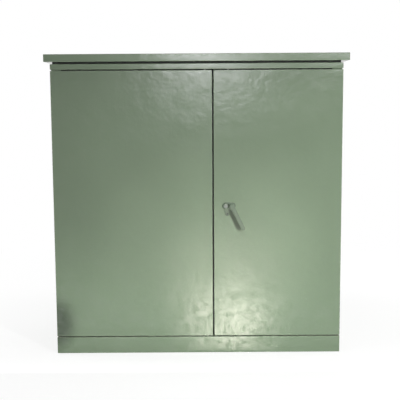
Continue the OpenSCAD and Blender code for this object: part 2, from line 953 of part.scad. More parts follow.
module door_handle() {
    neck = plate_t + rub;
    shaft = cam_front - rub;
    color(chrome) at_door(hub_x, handle_z) rotate([0, 0, lever_rest]) union() {
        translate([0, 0, handle_standoff]) linear_extrude(lever_t) lever_outline();
        translate([0, 0, neck]) cylinder(r = hub_r, h = handle_standoff - neck + cut);
        translate([0, 0, -shaft]) cylinder(r = spindle_r, h = shaft + neck + cut);
        block(
            [-spindle_sq / 2, -spindle_sq / 2, -cam_front - cam_t],
            [spindle_sq / 2, spindle_sq / 2, -shaft + cut]
        );
    }
}

module latch_cam() {
    hole = spindle_sq + 0.1;
    color(steel) at_door(hub_x, handle_z) difference() {
        rotate([0, 0, -lever_mid]) union() {
            translate([0, 0, -cam_front - cam_t]) linear_extrude(cam_t) union() {
                circle(r = 2 * spindle_r);
                square([2 * cam_r, 4 * cam_pin_r], center = true);
                for (x = [-cam_r, cam_r]) {
                    translate([x, 0]) circle(r = 2 * cam_pin_r);
                }
            }
            for (x = [-cam_r, cam_r]) {
                translate([x, 0, -cam_front - cut])
                    cylinder(r = cam_pin_r, h = cam_front + yoke_t - yoke_back + 2 * cut);
            }
        }
        rotate([0, 0, lever_rest]) block(
            [-hole / 2, -hole / 2, -cam_front - cam_t - cut],
            [hole / 2, hole / 2, -cam_front + cut]
        );
    }
}

module rod_yoke() {
    translate([-yoke_x, rod_rate * lever_mid, -yoke_back]) linear_extrude(yoke_t) difference() {
        square([yoke_w, yoke_h], center = true);
        square([slot_w, slot_h], center = true);
    }
}

module latch_rod_upper() {
    z0 = handle_z + rod_rate * lever_mid + yoke_h / 2 - cut;
    color(steel) union() {
        at_door(hub_x, handle_z) rod_yoke();
        translate([upper_rod_x, rod_y, z0]) cylinder(r = rod_r, h = header_z - tip_gap - z0);
    }
}

module latch_rod_lower() {
    z0 = sill_h + tip_gap;
    z1 = handle_z - rod_rate * lever_mid - yoke_h / 2 + cut;
    color(steel) union() {
        at_door(hub_x, handle_z) rotate([0, 0, 180]) rod_yoke();
        translate([lower_rod_x, rod_y, z0]) cylinder(r = rod_r, h = z1 - z0);
    }
}

module lock_cylinder() {
    recess = 2;
    front = plate_t + lock_ring_h - recess;
    key_w = 2.5;
    key_h = 1.2 * lock_r;
    key_d = 4;
    color(chrome) at_door(hub_x - lock_pitch, handle_z) difference() {
        translate([0, 0, -sheet_t - cam_t]) cylinder(r = lock_r, h = sheet_t + cam_t + front);
        block([-key_w / 2, -key_h / 2, front - key_d], [key_w / 2, key_h / 2, front + cut]);
    }
}

// Ring on top of the tank walls, less the opening that the cover closes
module rim_ring(z0, z1) {
    difference() {
        block(
            [-tank_w / 2 - rim_out, tank_y + tank_t, z0],
            [tank_w / 2 + rim_out, rear_y + rim_out, z1]
        );
        block(
            [rim_in - tank_w / 2, tank_y + tank_t + rim_front, z0 - cut],
            [tank_w / 2 - rim_in, rear_y - rim_in, z1 + cut]
        );
    }
}

module at_studs() {
    x1 = tank_w / 2 + rim_out / 2;
    y0 = tank_y + tank_t + rim_front / 2;
    y1 = rear_y + rim_out / 2;
    for (i = [0 : stud_rows - 1]) {
        for (y = [y0, y1]) {
            translate([x1 * (2 * i / (stud_rows - 1) - 1), y, 0]) children();
        }
    }
    for (j = [1 : stud_cols]) {
        for (x = [-x1, x1]) {
            translate([x, y0 + (y1 - y0) * j / (stud_cols + 1), 0]) children();
        }
    }
}

module tank() {
    color(paint) difference() {
        union() {
            block([-tank_w / 2, tank_y, skid_h], [tank_w / 2, rear_y, rim_z - rim_t]);
            block([-tank_w / 2, tank_y, sheet_t], [tank_w / 2, tank_y + tank_t, header_top]);
            block(
                [-roof_edge_x, tank_y - edge_flange_w, header_top - tank_t],
                [roof_edge_x, tank_y + tank_t, header_top]
            );
            rim_ring(rim_z - rim_t, rim_z);
        }
        block(
            [tank_t - tank_w / 2, tank_y + tank_t, skid_h + tank_t],
            [tank_w / 2 - tank_t, rear_y - tank_t, rim_z - rim_t]
        );
        for (x = [-skid_x, skid_x]) {
            block(
                [x - skid_w / 2 - cut, tank_y - cut, 0],
                [x + skid_w / 2 + cut, tank_y + tank_t + cut, skid_t + cut]
            );
        }
        for (x = hv_xs) {
            front_hole(x, hv_z, hv_neck_r);
            front_hole(x, fuse_z, fuse_ro);
        }
        for (x = lv_xs) {
            front_hole(x, lv_z, lv_neck_r);
        }
        for (x = gauge_xs) {
            front_hole(x, gauge_z, gauge_stem_r);
        }
        for (z = [switch_z, tap_z]) {
            front_hole(control_x, z, control_tube_r);
        }
        front_hole(relief_x, gauge_z, relief_r);
        front_hole(valve_x, valve_z, valve_r);
    }
}

// Hole through the tank front for something of radius r
module front_hole(x, z, r) {
    at_front(x, z) translate([0, 0, -tank_t - cut]) cylinder(r = r + rub, h = tank_t + 2 * cut);
}

module cover_gasket() {
    color(black) difference() {
        rim_ring(rim_z, rim_z + cover_seal_t);
        at_studs() translate([0, 0, rim_z - cut]) {
            cylinder(r = stud_r + bolt_clear, h = cover_seal_t + 2 * cut);
        }
    }
}

module tank_cover() {
    z0 = rim_z + cover_seal_t;
    color(paint) difference() {
        block(
            [-tank_w / 2 - rim_out, tank_y + tank_t + rub, z0],
            [tank_w / 2 + rim_out, rear_y + rim_out, z0 + cover_t]
        );
        at_studs() translate([0, 0, z0 - cut]) {
            cylinder(r = stud_r + bolt_clear, h = cover_t + 2 * cut);
        }
    }
}

module cover_bolts() {
    color(steel) at_studs() translate([0, 0, rim_z]) stud(cover_seal_t + cover_t);
}

module base_skids() {
    web_t = 0.8 * skid_t;
    color(paint) both_sides() translate([skid_x, 0, 0]) difference() {
        union() {
            block([-skid_w / 2, tank_y - foot_out, 0], [skid_w / 2, rear_y + foot_out, skid_t]);
            block([-web_t / 2, tank_y + tank_t + cut, 0], [web_t / 2, rear_y, skid_h]);
            block([-skid_w / 2, tank_y + tank_t + cut, skid_h - skid_t], [skid_w / 2, rear_y, skid_h]);
        }
        for (y = [tank_y - anchor_out, rear_y + anchor_out]) {
            translate([0, y, -cut]) cylinder(r = anchor_r, h = skid_t + 2 * cut);
        }
    }
}

module lifting_lugs() {
    hole_x = lug_w - 1.7 * lug_r;
    color(paint) both_sides() for (y = [tank_y + lug_end, rear_y - lug_end]) {
        translate([tank_w / 2, y, lug_z]) rotate([90, 0, 0]) linear_extrude(lug_t, center = true)
            difference() {
                polygon([
                    [0, -lug_h / 2], [lug_w, -lug_h / 5], [lug_w, lug_h / 5],
                    [lug_w / 2, lug_h / 2], [0, lug_h / 2]
                ]);
                translate([hole_x, 0]) circle(r = lug_r);
            }
    }
}

module radiator_plate() {
    pitch = rad_w / rad_flutes;
    h = rad_plate_t / 2;
    s = rad_seam_t / 2;
    edge = [for (i = [0 : rad_flutes - 1]) for (p = [[0, s], [0.12, s], [0.25, h], [0.75, h], [0.88, s]])
        [(i + p[0]) * pitch - rad_w / 2, p[1]]];
    back = [for (i = [len(edge) - 1 : -1 : 0]) [edge[i][0], -edge[i][1]]];
    polygon(concat(edge, [[rad_w / 2, s], [rad_w / 2, -s]], back));
}

module radiator(x) {
    color(paint) union() {
        for (i = [0 : rad_plates - 1]) {
            translate([x, rear_y + rad_stub + i * rad_pitch, rad_z]) linear_extrude(rad_h) radiator_plate();
        }
        for (z = [rad_z + rad_pipe_end, rad_z + rad_h - rad_pipe_end]) {
            translate([x, rear_y, z]) rotate([-90, 0, 0]) cylinder(r = rad_pipe_r, h = rad_d);
        }
    }
}

module radiator_left() {
    radiator(-rad_x);
}

module radiator_right() {
    radiator(rad_x);
}

module core() {
    color(core_steel) translate([0, core_y + limb_w / 2, core_z]) rotate([90, 0, 0]) {
        linear_extrude(limb_w) difference() {
            translate([-core_w / 2, 0]) square([core_w, core_h]);
            for (x = [-limb_pitch / 2, limb_pitch / 2]) {
                translate([x - (limb_pitch - limb_w) / 2, limb_w]) square([limb_pitch - limb_w, window_h]);
            }
        }
    }
}

module windings(ri, ro) {
    h = window_h - 2 * wind_end;
    for (i = [-1 : 1]) {
        translate([i * limb_pitch, core_y, core_z + limb_w + wind_end]) difference() {
            cylinder(r = ro, h = h);
            translate([0, 0, -cut]) cylinder(r = ri, h = h + 2 * cut);
        }
    }
}

module lv_windings() {
    color(copper) windings(lv_wind_ri, lv_wind_ro);
}

module hv_windings() {
    color(enamel_wire) windings(hv_wind_ri, hv_wind_ro);
}

module core_clamps() {
    x = limb_pitch + sqrt(pow(hv_wind_ro + 2 * tie_r, 2) - pow((limb_w + clamp_t) / 2, 2));
    low = core_z + (limb_w - clamp_h) / 2;
    high = core_z + core_h - (limb_w + clamp_h) / 2;
    floor_z = skid_h + tank_t;
    color(clamp_steel) for (y = [core_y - limb_w / 2 - clamp_t, core_y + limb_w / 2]) {
        union() {
            for (z = [low, high]) {
                block([-x - 2 * tie_r, y, z], [x + 2 * tie_r, y + clamp_t, z + clamp_h]);
            }
            for (s = [-x, x]) {
                translate([s, y + clamp_t / 2, low + cut]) cylinder(r = tie_r, h = high - low);
                block([s - 2 * tie_r, y, floor_z], [s + 2 * tie_r, y + clamp_t, low + cut]);
            }
        }
    }
}

module hv_bushings() {
    r = hv_neck_r;
    flange = r + hv_flange_out;
    collar = r + hv_collar_out;
    skirt = r + hv_skirt_out;
    tip = r - hv_tip_in;
    color(porcelain) for (x = hv_xs) {
        at_front(x, hv_z) rotate_extrude() polygon([
            [0, -hv_in], [r - hv_bevel, -hv_in], [r, hv_bevel - hv_in], [r, 0],
            [flange, 0], [flange, hv_flange_t], [collar, hv_collar_z], [collar, hv_collar_end],
            [skirt, hv_skirt_z], [skirt, hv_skirt_end], [tip, hv_len - hv_tip_end],
            [tip - hv_tip_bevel, hv_len], [hv_socket_r, hv_len],
            [hv_socket_r, hv_len - hv_socket_d], [0, hv_len - hv_socket_d]
        ]);
    }
}

// Slotted angle beside each primary bushing that a loose elbow is parked on
module parking_stands() {
    w = stand_w / 2;
    h = stand_h / 2;
    slot = stand_w / 5;
    color(steel) for (x = hv_xs) {
        at_front(x + hv_pitch / 2, hv_z) difference() {
            union() {
                block([-w, -h, 0], [w, h, stand_t]);
                block([-w, -h, 0], [w, stand_t - h, stand_reach]);
            }
            block([-slot, -h - cut, stand_reach / 2], [slot, stand_t - h + cut, stand_reach + cut]);
        }
    }
}

module fuse_housings() {
    flange = fuse_ro + fuse_flange_out;
    lip = fuse_ro + fuse_lip_out;
    lip_z = fuse_out - fuse_lip_len;
    color(black) for (x = hv_xs) {
        at_front(x, fuse_z) rotate_extrude() polygon([
            [fuse_bore_r, -fuse_in], [fuse_ro, -fuse_in], [fuse_ro, 0], [flange, 0],
            [flange, fuse_flange_t], [fuse_ro, fuse_flange_t], [fuse_ro, lip_z], [lip, lip_z],
            [lip, fuse_out], [fuse_bore_r, fuse_out]
        ]);
    }
}

module fuse_holder(i) {
    cap_z = fuse_out + rub;
    eye_z = cap_z + fuse_cap_len + fuse_eye_r - fuse_eye_sink;
    color(fuse_gold) at_front(hv_xs[i], fuse_z) union() {
        translate([0, 0, fuse_tip - fuse_in]) {
            cylinder(r = fuse_bore_r - cut, h = fuse_in + fuse_out - fuse_tip + cut);
        }
        translate([0, 0, cap_z]) cylinder(r = fuse_ro + fuse_cap_out, h = fuse_cap_len);
        translate([-fuse_eye_t / 2, 0, eye_z]) rotate([0, 90, 0]) difference() {
            cylinder(r = fuse_eye_r, h = fuse_eye_t);
            translate([0, 0, -cut]) cylinder(r = fuse_eye_hole_r, h = fuse_eye_t + 2 * cut);
        }
    }
}

module fuse_holder_1() {
    fuse_holder(0);
}

module fuse_holder_2() {
    fuse_holder(1);
}

module fuse_holder_3() {
    fuse_holder(2);
}

module lv_bushings() {
    r = lv_neck_r;
    root = r + lv_root_out;
    shed = r + lv_shed_out;
    color(porcelain) for (x = lv_xs) {
        at_front(x, lv_z) rotate_extrude() polygon(concat(
            [
                [lv_stud_r + rub, -lv_in], [r, -lv_in], [r, 0],
                [r + lv_foot_out, 0], [r + lv_foot_out, lv_foot_t]
            ],
            [
                for (i = [0 : 1], p = [
                    [root, lv_shed_t], [root, lv_shed_pitch - 2 * lv_shed_t],
                    [shed, lv_shed_pitch - lv_shed_t], [shed, lv_shed_pitch]
                ]) [p[0], lv_foot_t + i * lv_shed_pitch + p[1]]
            ],
            [
                [root, lv_foot_t + 2 * lv_shed_pitch + lv_shed_t],
                [r, lv_len], [lv_stud_r + rub, lv_len]
            ]
        ));
    }
}

module lv_spades() {
    z0 = lv_len + rub;
    mid = z0 + blade_len - blade_pitch;
    color(steel) for (x = lv_xs) {
        at_front(x, lv_z) difference() {
            union() {
                translate([0, 0, -lv_stud_in]) cylinder(r = lv_stud_r, h = lv_stud_in + z0 + cut);
                block([-blade_t / 2, -blade_h / 2, z0], [blade_t / 2, blade_h / 2, z0 + blade_len]);
            }
            for (y = [-blade_pitch / 2, blade_pitch / 2]) {
                for (z = [mid - blade_pitch / 2, mid + blade_pitch / 2]) {
                    translate([-blade_t, y, z]) rotate([0, 90, 0]) {
                        cylinder(r = blade_hole_r, h = 2 * blade_t);
                    }
                }
            }
        }
    }
}

module ground_pads() {
    color(steel) for (x = ground_xs) {
        at_front(x, ground_z) difference() {
            block([-ground_w / 2, -ground_h / 2, 0], [ground_w / 2, ground_h / 2, ground_t]);
            for (s = [-blade_pitch / 2, blade_pitch / 2]) {
                translate([s, 0, -cut]) cylinder(r = stud_r + bolt_clear, h = ground_t + 2 * cut);
            }
        }
    }
}

// Copper bar from the neutral terminal down to the ground pad below it
module neutral_strap() {
    t = strap_t;
    w = strap_w;
    far = lv_len + blade_len / 2;
    foot_z = ground_z + ground_h / 2 - w + strap_over;
    drop = lv_z - blade_h / 2;
    color(copper) at_front(strap_x, 0) union() {
        block([-t / 2, foot_z, far - w / 2], [t / 2, drop, far + w / 2]);
        block([-t / 2, foot_z, ground_t], [t / 2, foot_z + w, far]);
        block([-w / 2, foot_z, ground_t], [w / 2, foot_z + w, ground_t + t]);
    }
}

module gauge_cases() {
    color(black) for (x = gauge_xs) {
        at_front(x, gauge_z) difference() {
            union() {
                translate([0, 0, -gauge_stem_in]) cylinder(r = gauge_stem_r, h = gauge_stem_in + cut);
                cylinder(r = gauge_stem_r + gauge_flange_out, h = gauge_flange_t);
                translate([0, 0, gauge_flange_t - cut]) {
                    cylinder(r = gauge_r, h = gauge_d - gauge_flange_t + cut);
                }
            }
            translate([0, 0, gauge_d - gauge_recess]) {
                cylinder(r = gauge_r - gauge_bezel, h = gauge_recess + cut);
            }
            translate([0, 0, gauge_d / 2]) cylinder(r = pointer_pin_r + run_gap, h = gauge_d);
        }
    }
}

module gauge_glasses() {
    color(glass) for (x = gauge_xs) {
        at_front(x, gauge_z) translate([0, 0, gauge_d - gauge_glass_t]) {
            cylinder(r = gauge_r - gauge_bezel - rub, h = gauge_glass_t);
        }
    }
}

// Needle with its spindle, turned to the given angle from straight up
module pointer(x, angle) {
    base = gauge_d - gauge_recess + rub;
    t = pointer_t;
    tip = gauge_r - pointer_tip_gap;
    tail_w = pointer_tail_w / 2;
    tip_w = pointer_tip_w / 2;
    at_front(x, gauge_z) rotate([0, 0, angle]) union() {
        translate([0, 0, gauge_d / 2 + cut]) cylinder(r = pointer_pin_r, h = base + t - gauge_d / 2 - cut);
        translate([0, 0, base]) cylinder(r = 2 * pointer_pin_r, h = t);
        translate([0, 0, base]) linear_extrude(t) polygon([
            [-tail_w, -pointer_tail], [tail_w, -pointer_tail], [tip_w, tip], [-tip_w, tip]
        ]);
    }
}

module thermometer_pointer() {
    color(pointer_red) pointer(gauge_xs[0], thermometer_rest);
}

module level_pointer() {
    color(pointer_red) pointer(gauge_xs[1], 0);
}

module relief_valve() {
    color(brass) at_front(relief_x, gauge_z) difference() {
        union() {
            translate([0, 0, -relief_in]) cylinder(r = relief_r, h = relief_in + cut);
            cylinder(r = relief_r + relief_hex_out, h = relief_hex_t, $fn = 6);
            translate([0, 0, relief_hex_t - cut]) {
                cylinder(r = relief_r + relief_body_out, h = relief_out - relief_hex_t + cut);
            }
        }
        translate([0, 0, relief_bore_z]) cylinder(r = relief_stem_r + run_gap, h = relief_out);
    }
}

module relief_ring() {
    ring_z = relief_out + relief_bore_z + relief_ring_r;
    color(steel) at_front(relief_x, gauge_z) union() {
        translate([0, 0, relief_bore_z + cut]) cylinder(r = relief_stem_r, h = relief_out);
        translate([0, 0, ring_z]) rotate([0, 90, 0]) {
            rotate_extrude() translate([relief_ring_r, 0]) circle(r = relief_wire_r);
        }
    }
}

module drain_valve() {
    color(brass) difference() {
        union() {
            at_front(valve_x, valve_z) {
                translate([0, 0, -valve_in]) cylinder(r = valve_r, h = valve_in + valve_out);
                cylinder(r = valve_r + valve_flange_out, h = valve_flange_t);
                translate([0, 0, valve_out]) cylinder(r = valve_r + valve_body_out, h = valve_body_len);
                translate([0, 0, valve_out + valve_body_len - cut]) {
                    cylinder(r = valve_r + valve_plug_out, h = valve_plug_len, $fn = 6);
                }
            }
            translate([valve_x, valve_stem_y, valve_z]) {
                cylinder(r = valve_r + valve_bonnet_out, h = valve_bonnet_h);
            }
        }
        translate([valve_x, valve_stem_y, valve_z]) {
            cylinder(r = wheel_rod_r + run_gap, h = valve_bonnet_h + cut);
        }
    }
}

module valve_handwheel() {
    hub = wheel_hub_h / 2;
    w = wheel_spoke_w / 2;
    t = wheel_spoke_t / 2;
    color(handle_red) translate([valve_x, valve_stem_y, valve_z]) union() {
        translate([0, 0, cut]) cylinder(r = wheel_rod_r, h = wheel_z + hub);
        translate([0, 0, wheel_z - hub]) cylinder(r = 2 * wheel_rod_r, h = wheel_hub_h);
        translate([0, 0, wheel_z]) rotate_extrude() translate([wheel_r, 0]) circle(r = wheel_rim_r);
        for (i = [1 : wheel_spokes]) {
            rotate([0, 0, i * 360 / wheel_spokes]) block([0, -w, wheel_z - t], [wheel_r, w, wheel_z + t]);
        }
    }
}

module control_bosses() {
    color(steel) for (z = [switch_z, tap_z]) {
        at_front(control_x, z) difference() {
            union() {
                translate([0, 0, -boss_in]) cylinder(r = control_tube_r, h = control_out + boss_in);
                cylinder(r = boss_r, h = boss_t);
            }
            translate([0, 0, -boss_in - cut]) {
                cylinder(r = control_r + run_gap, h = control_out + boss_in + 2 * cut);
            }
        }
    }
}

module control_shaft() {
    translate([0, 0, -control_in]) cylinder(r = control_r, h = control_in + control_out + cut);
    translate([0, 0, control_out + rub]) cylinder(r = 2 * control_r, h = control_hub_h);
}

module switch_handle() {
    ends = [-switch_len / 2, switch_len / 2];
    color(handle_red) at_front(control_x, switch_z) difference() {
        union() {
            control_shaft();
            translate([0, 0, control_arm_z]) linear_extrude(control_arm_t) union() {
                square([switch_len, switch_w], center = true);
                for (x = ends) {
                    translate([x, 0]) circle(r = switch_w / 2);
                }
            }
        }
        for (x = ends) {
            translate([x, 0, control_arm_z - cut]) cylinder(r = switch_hole_r, h = control_arm_t + 2 * cut);
        }
    }
}

module tap_handle() {
    color(steel) at_front(control_x, tap_z) rotate([0, 0, tap_rest]) union() {
        control_shaft();
        translate([0, -tap_w / 2, control_arm_z]) cube([tap_len, tap_w, control_arm_t]);
        translate([tap_len - tap_knob_end, 0, control_arm_z]) cylinder(r = tap_knob_r, h = tap_knob_h);
    }
}

side_panel_left();
side_panel_right();
door_jambs();
header_beam();
front_sill();
door_stops();
centre_post();
barrier_panel();
roof_cap();
cabinet_bolts();
cabinet_seals();
hinge_brackets();
hinge_pins();
tank();
tank_cover();
cover_gasket();
cover_bolts();
base_skids();
lifting_lugs();
radiator_left();
radiator_right();
core();
lv_windings();
hv_windings();
core_clamps();
hv_bushings();
parking_stands();
fuse_housings();
lv_bushings();
lv_spades();
ground_pads();
neutral_strap();
gauge_cases();
gauge_glasses();
relief_valve();
drain_valve();
control_bosses();
hv_door();
hv_hinge_leaves();
hv_top_bolt();
hv_bottom_bolt();
hv_door_stay();
lv_door();
lv_hinge_leaves();
lv_door_stay();
handle_plate();
door_handle();
latch_cam();
latch_rod_upper();
latch_rod_lower();
lock_cylinder();
fuse_holder_1();
fuse_holder_2();
fuse_holder_3();
switch_handle();
tap_handle();
valve_handwheel();
relief_ring();
thermometer_pointer();
level_pointer();
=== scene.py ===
"""Looks of a pad-mounted transformer, laid out as an add-on and run as a script.

The packed solids are loaded as a fixed frame. Each operator finishes one group of pieces: it gives
solids their material and rounded edges, or replaces them with pieces that carry more detail.
"""

import functools
import math

import bmesh
import bpy
from bpy.props import FloatProperty, FloatVectorProperty, IntProperty, PointerProperty
from mathutils import Matrix, Vector


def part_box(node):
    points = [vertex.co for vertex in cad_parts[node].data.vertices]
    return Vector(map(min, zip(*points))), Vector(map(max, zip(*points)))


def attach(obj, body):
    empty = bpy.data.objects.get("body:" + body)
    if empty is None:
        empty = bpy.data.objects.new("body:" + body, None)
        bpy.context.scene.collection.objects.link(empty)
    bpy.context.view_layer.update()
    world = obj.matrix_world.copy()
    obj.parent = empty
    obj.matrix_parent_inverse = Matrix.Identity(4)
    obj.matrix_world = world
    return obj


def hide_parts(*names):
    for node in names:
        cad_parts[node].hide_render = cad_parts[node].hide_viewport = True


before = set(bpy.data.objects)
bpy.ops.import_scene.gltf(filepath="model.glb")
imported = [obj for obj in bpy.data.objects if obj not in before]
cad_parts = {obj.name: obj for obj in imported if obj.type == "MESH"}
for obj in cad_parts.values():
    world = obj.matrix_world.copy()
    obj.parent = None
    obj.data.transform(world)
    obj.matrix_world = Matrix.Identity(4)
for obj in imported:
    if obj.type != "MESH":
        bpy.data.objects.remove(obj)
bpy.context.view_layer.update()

bl_info = {
    "name": "Pad-mounted transformer",
    "version": (1, 0, 0),
    "blender": (4, 5, 0),
    "location": "3D View > Sidebar > Transformer",
    "description": "Finishes and fine pieces of a two-door pad-mounted transformer",
    "category": "Add Mesh",
}

# Corners nearer to each other than this are one corner, and within this of a face they lie on it
SAME_POINT = 0.00001
ON_FACE = 0.0005
# Faces that meet at less than this are one face, and edges above these are shaded or cut as corners
FLAT = math.radians(0.5)
SHADED = math.radians(38)
CORNER = math.radians(40)


def linear(code):
    """Turns an sRGB hex colour into linear red, green, blue and alpha"""
    parts = [int(code[i:i + 2], 16) / 255 for i in (1, 3, 5)]
    return tuple(p / 12.92 if p <= 0.04045 else ((p + 0.055) / 1.055) ** 2.4 for p in parts) + (1.0,)


def colour(name, description, code):
    """A colour property whose default is an sRGB hex value"""
    return FloatVectorProperty(name=name, description=description, subtype="COLOR", size=4,
                               min=0.0, max=1.0, default=linear(code))


def length(name, description, metres):
    """A length property in metres"""
    return FloatProperty(name=name, description=description, unit="LENGTH", min=0.0, default=metres)


def point(name, description, metres):
    """A place or a size along x, y and z in metres"""
    return FloatVectorProperty(name=name, description=description, subtype="TRANSLATION", unit="LENGTH",
                               default=metres)


def angle(name, description, degrees):
    """An angle property, given in degrees"""
    return FloatProperty(name=name, description=description, subtype="ANGLE", default=math.radians(degrees))


def share(name, description, part):
    """A property for a share, a factor or a strength"""
    return FloatProperty(name=name, description=description, min=0.0, default=part)


def power(name, description, watts):
    """A lamp's power in watts"""
    return FloatProperty(name=name, description=description, unit="POWER", min=0.0, default=watts)


def number(name, description, pieces):
    """A count of at least one"""
    return IntProperty(name=name, description=description, min=1, default=pieces)


class EnamelSettings(bpy.types.PropertyGroup):
    """Sprayed enamel of the cabinet and tank"""
    base: colour("Base", "Colour of the enamel where it lies evenly", "#76886F")
    thin: colour("Thin coat", "Colour where less enamel was sprayed", "#798B72")
    thick: colour("Thick coat", "Colour where more enamel was sprayed", "#73856C")
    # Paler folds: partly the coat pulling thin, partly a painted highlight along the folds
    rubbed: colour("Rubbed edges", "Colour of the folds, where the coat pulls thin", "#9DAB95")
    dust: colour("Dust", "Colour of dust on upward faces", "#A6A594")
    # The grime colour is both splashed dirt and the painted shade at the left foot
    grime: colour("Grime", "Colour of dirt near the ground", "#3F4A3C")
    gloss: share("Roughness", "Roughness of clean enamel", 0.165)
    cloud: length("Cloud size", "Distance between thick and thin areas of the coat", 0.34)
    streak: length("Streak width", "Width of the streaks that rain leaves", 0.0417)
    streak_run: length("Streak length", "Length of the streaks that rain leaves", 0.77)
    streaked: share("Streaks", "Most that a streak shows", 0.20)
    speck: length("Speck size", "Width of the specks of dirt and dust", 0.045)
    splash: length("Splash height", "Height that rain splashes dirt to", 0.16)
    splashed: share("Splashes", "Most that splashed dirt shows", 0.06)
    # Painted shade: a soft dark patch at the left foot, in the grime colour
    scuff_at: point("Scuff place", "Middle of the scuffed patch at the left foot", (-0.825, -0.69, 0.17))
    scuff_size: point("Scuff size", "Reach of the scuffed patch", (0.15, 0.15, 0.21))
    scuffed: share("Scuff", "Most that the scuffed patch shows", 0.80)
    dusted: share("Dust cover", "Most dust on upward faces", 0.75)
    # Share of the paler fold colour, partly thin coat and partly painted highlight
    worn: share("Rubbing", "How far rubbed folds change colour", 0.55)
    blot: length("Dust blot", "Width of the blots in the film of dust", 0.032)
    film_top: length("Film top", "Height above which the film of dust is thinnest", 0.80)
    film_foot: length("Film foot", "Height below which the film of dust is thickest", 0.20)
    film_thin: share("Thin film", "How far the thinnest film changes the gloss", 0.7)
    film_thick: share("Thick film", "How far the thickest film changes the gloss", 1.9)
    peel: length("Orange peel size", "Width of the orange peel's bumps", 0.018)
    peel_depth: length("Orange peel depth", "Height of the orange peel's bumps", 0.00036)
    wave: length("Sheet wave", "Distance between the slow waves in the sheet", 0.26)
    wave_depth: length("Sheet wave depth", "Height of the slow waves in the sheet", 0.0006)
    ripple: length("Ripple", "Distance between the shallow dents that rolling leaves in the sheet", 0.085)
    ripple_depth: length("Ripple depth", "Height of the shallow dents", 0.0012)


class MetalSettings(bpy.types.PropertyGroup):
    """Bare and plated metals"""
    chrome: colour("Chrome", "Polished chrome plate", "#939A94")
    lacquer: colour("Lacquer", "Aluminium lacquer on the lever and its plate", "#6B7A68")
    zinc: colour("Zinc", "Zinc plate on steel", "#B3B6B6")
    black: colour("Black", "Oil-blackened steel", "#3A3D3B")
    copper: colour("Copper", "Bare copper bar", "#B8734A")
    tin: colour("Tin", "Tinned copper bar", "#C3C5C4")
    brass: colour("Brass", "Cast brass", "#B4924E")
    lamination: colour("Lamination", "Coated electrical steel", "#7A7F84")
    smear: length("Smear size", "Width of the dull patches that handling leaves", 0.03)
    sheets: length("Sheet pack", "Thickness of a pack of core sheets, as drawn", 0.006)
    turn: length("Turn height", "Height of one turn of the outer windings", 0.009)


class SheetSettings(bpy.types.PropertyGroup):
    """Rounding of folded and cut edges"""
    fold: length("Fold radius", "Outside radius of the folds on doors, cap, header and sill", 0.0027)
    edge: length("Cut edge radius", "Rounding of cut sheet edges under the paint", 0.0007)
    bar: length("Bar edge radius", "Rounding of thick plate and bar edges", 0.0014)
    cast: length("Cast edge radius", "Rounding of cast and moulded edges", 0.0018)


class DoorSettings(bpy.types.PropertyGroup):
    """Stiffeners of the doors, their spot welds and the black rubber strips behind the gaps, which paint
    shade into them
    """
    rib_pitch: length("Stiffener pitch", "Distance of the stiffeners from the side and each other", 0.300)
    rib_back: length("Stiffener flange", "Depth of the stiffeners' flanges behind the door's face", 0.006)
    weld_rows: length("Weld rows", "Distance of the weld rows from the middle of a stiffener", 0.027)
    welds: number("Welds", "Spot welds in a row", 12)
    weld_first: length("First weld", "Height of the lowest weld above the foot of the door", 0.185)
    weld_pitch: length("Weld pitch", "Distance between spot welds", 0.105)
    # The strips are black rubber put behind the gaps as painted shade, so that the gaps read dark
    strip: length("Strip", "Half width of the strip behind the gap between the doors", 0.009)
    strip_t: length("Strip thickness", "How far the strips stand out", 0.0012)
    strip_sink: length("Strip bedding", "How far the strips are let in", 0.0002)
    strip_short: length("Strip ends", "Distance of the middle strip's ends from the door's ends", 0.02)
    strip_side: length("Strip sides", "Distance of the other strips from the sides of their stops", 0.004)
    strip_edge: length("Strip edges", "Distance of the other strips from the edges of their stops", 0.002)
    strip_round: length("Strip rounding", "Rounding of the strips' edges", 0.0004)


class HandleSettings(bpy.types.PropertyGroup):
    """Lever handle and its plate"""
    arm: length("Arm depth", "Depth of the lever's arm behind its front", 0.0125)
    arm_round: length("Arm rounding", "Rounding of the lever's arm", 0.0054)
    ring_round: length("Ring rounding", "Rounding of the ring round the lock", 0.0027)
    plate: length("Plate", "Thickness of the plate", 0.005)
    screw_x: length("Screw aside", "Distance of the screw from the plate's left side", 0.029)
    screw_z: length("Screw height", "Height of the screw above the plate's foot", 0.013)


class TankSettings(bpy.types.PropertyGroup):
    """Plate of the tank and its weld runs"""
    plate: length("Plate", "Thickness of the tank's plate", 0.006)
    flange: length("Flange", "Thickness of the cabinet's flanges on the tank", 0.003)
    rim: length("Rim", "Thickness of the rim under the cover's seal", 0.010)
    drop: length("Drop pitch", "Distance between the ripples of a weld", 0.011)
    seam_r: length("Seam radius", "Radius of the runs along the corners and the floor", 0.0042)
    rim_r: length("Rim run radius", "Radius of the runs under the rim", 0.0048)
    lug_r: length("Lug run radius", "Radius of the runs beside the lifting lugs", 0.0044)
    end: length("Run ends", "Distance of a run's end from the corner", 0.004)
    floor: length("Floor runs", "Distance of the floor runs' middle from the skids and front plate", 0.002)
    under: length("Rim runs", "Distance of the rim runs below the rim", 0.001)
    inset: length("Back runs", "Distance of the back runs' ends from the tank's sides", 0.006)


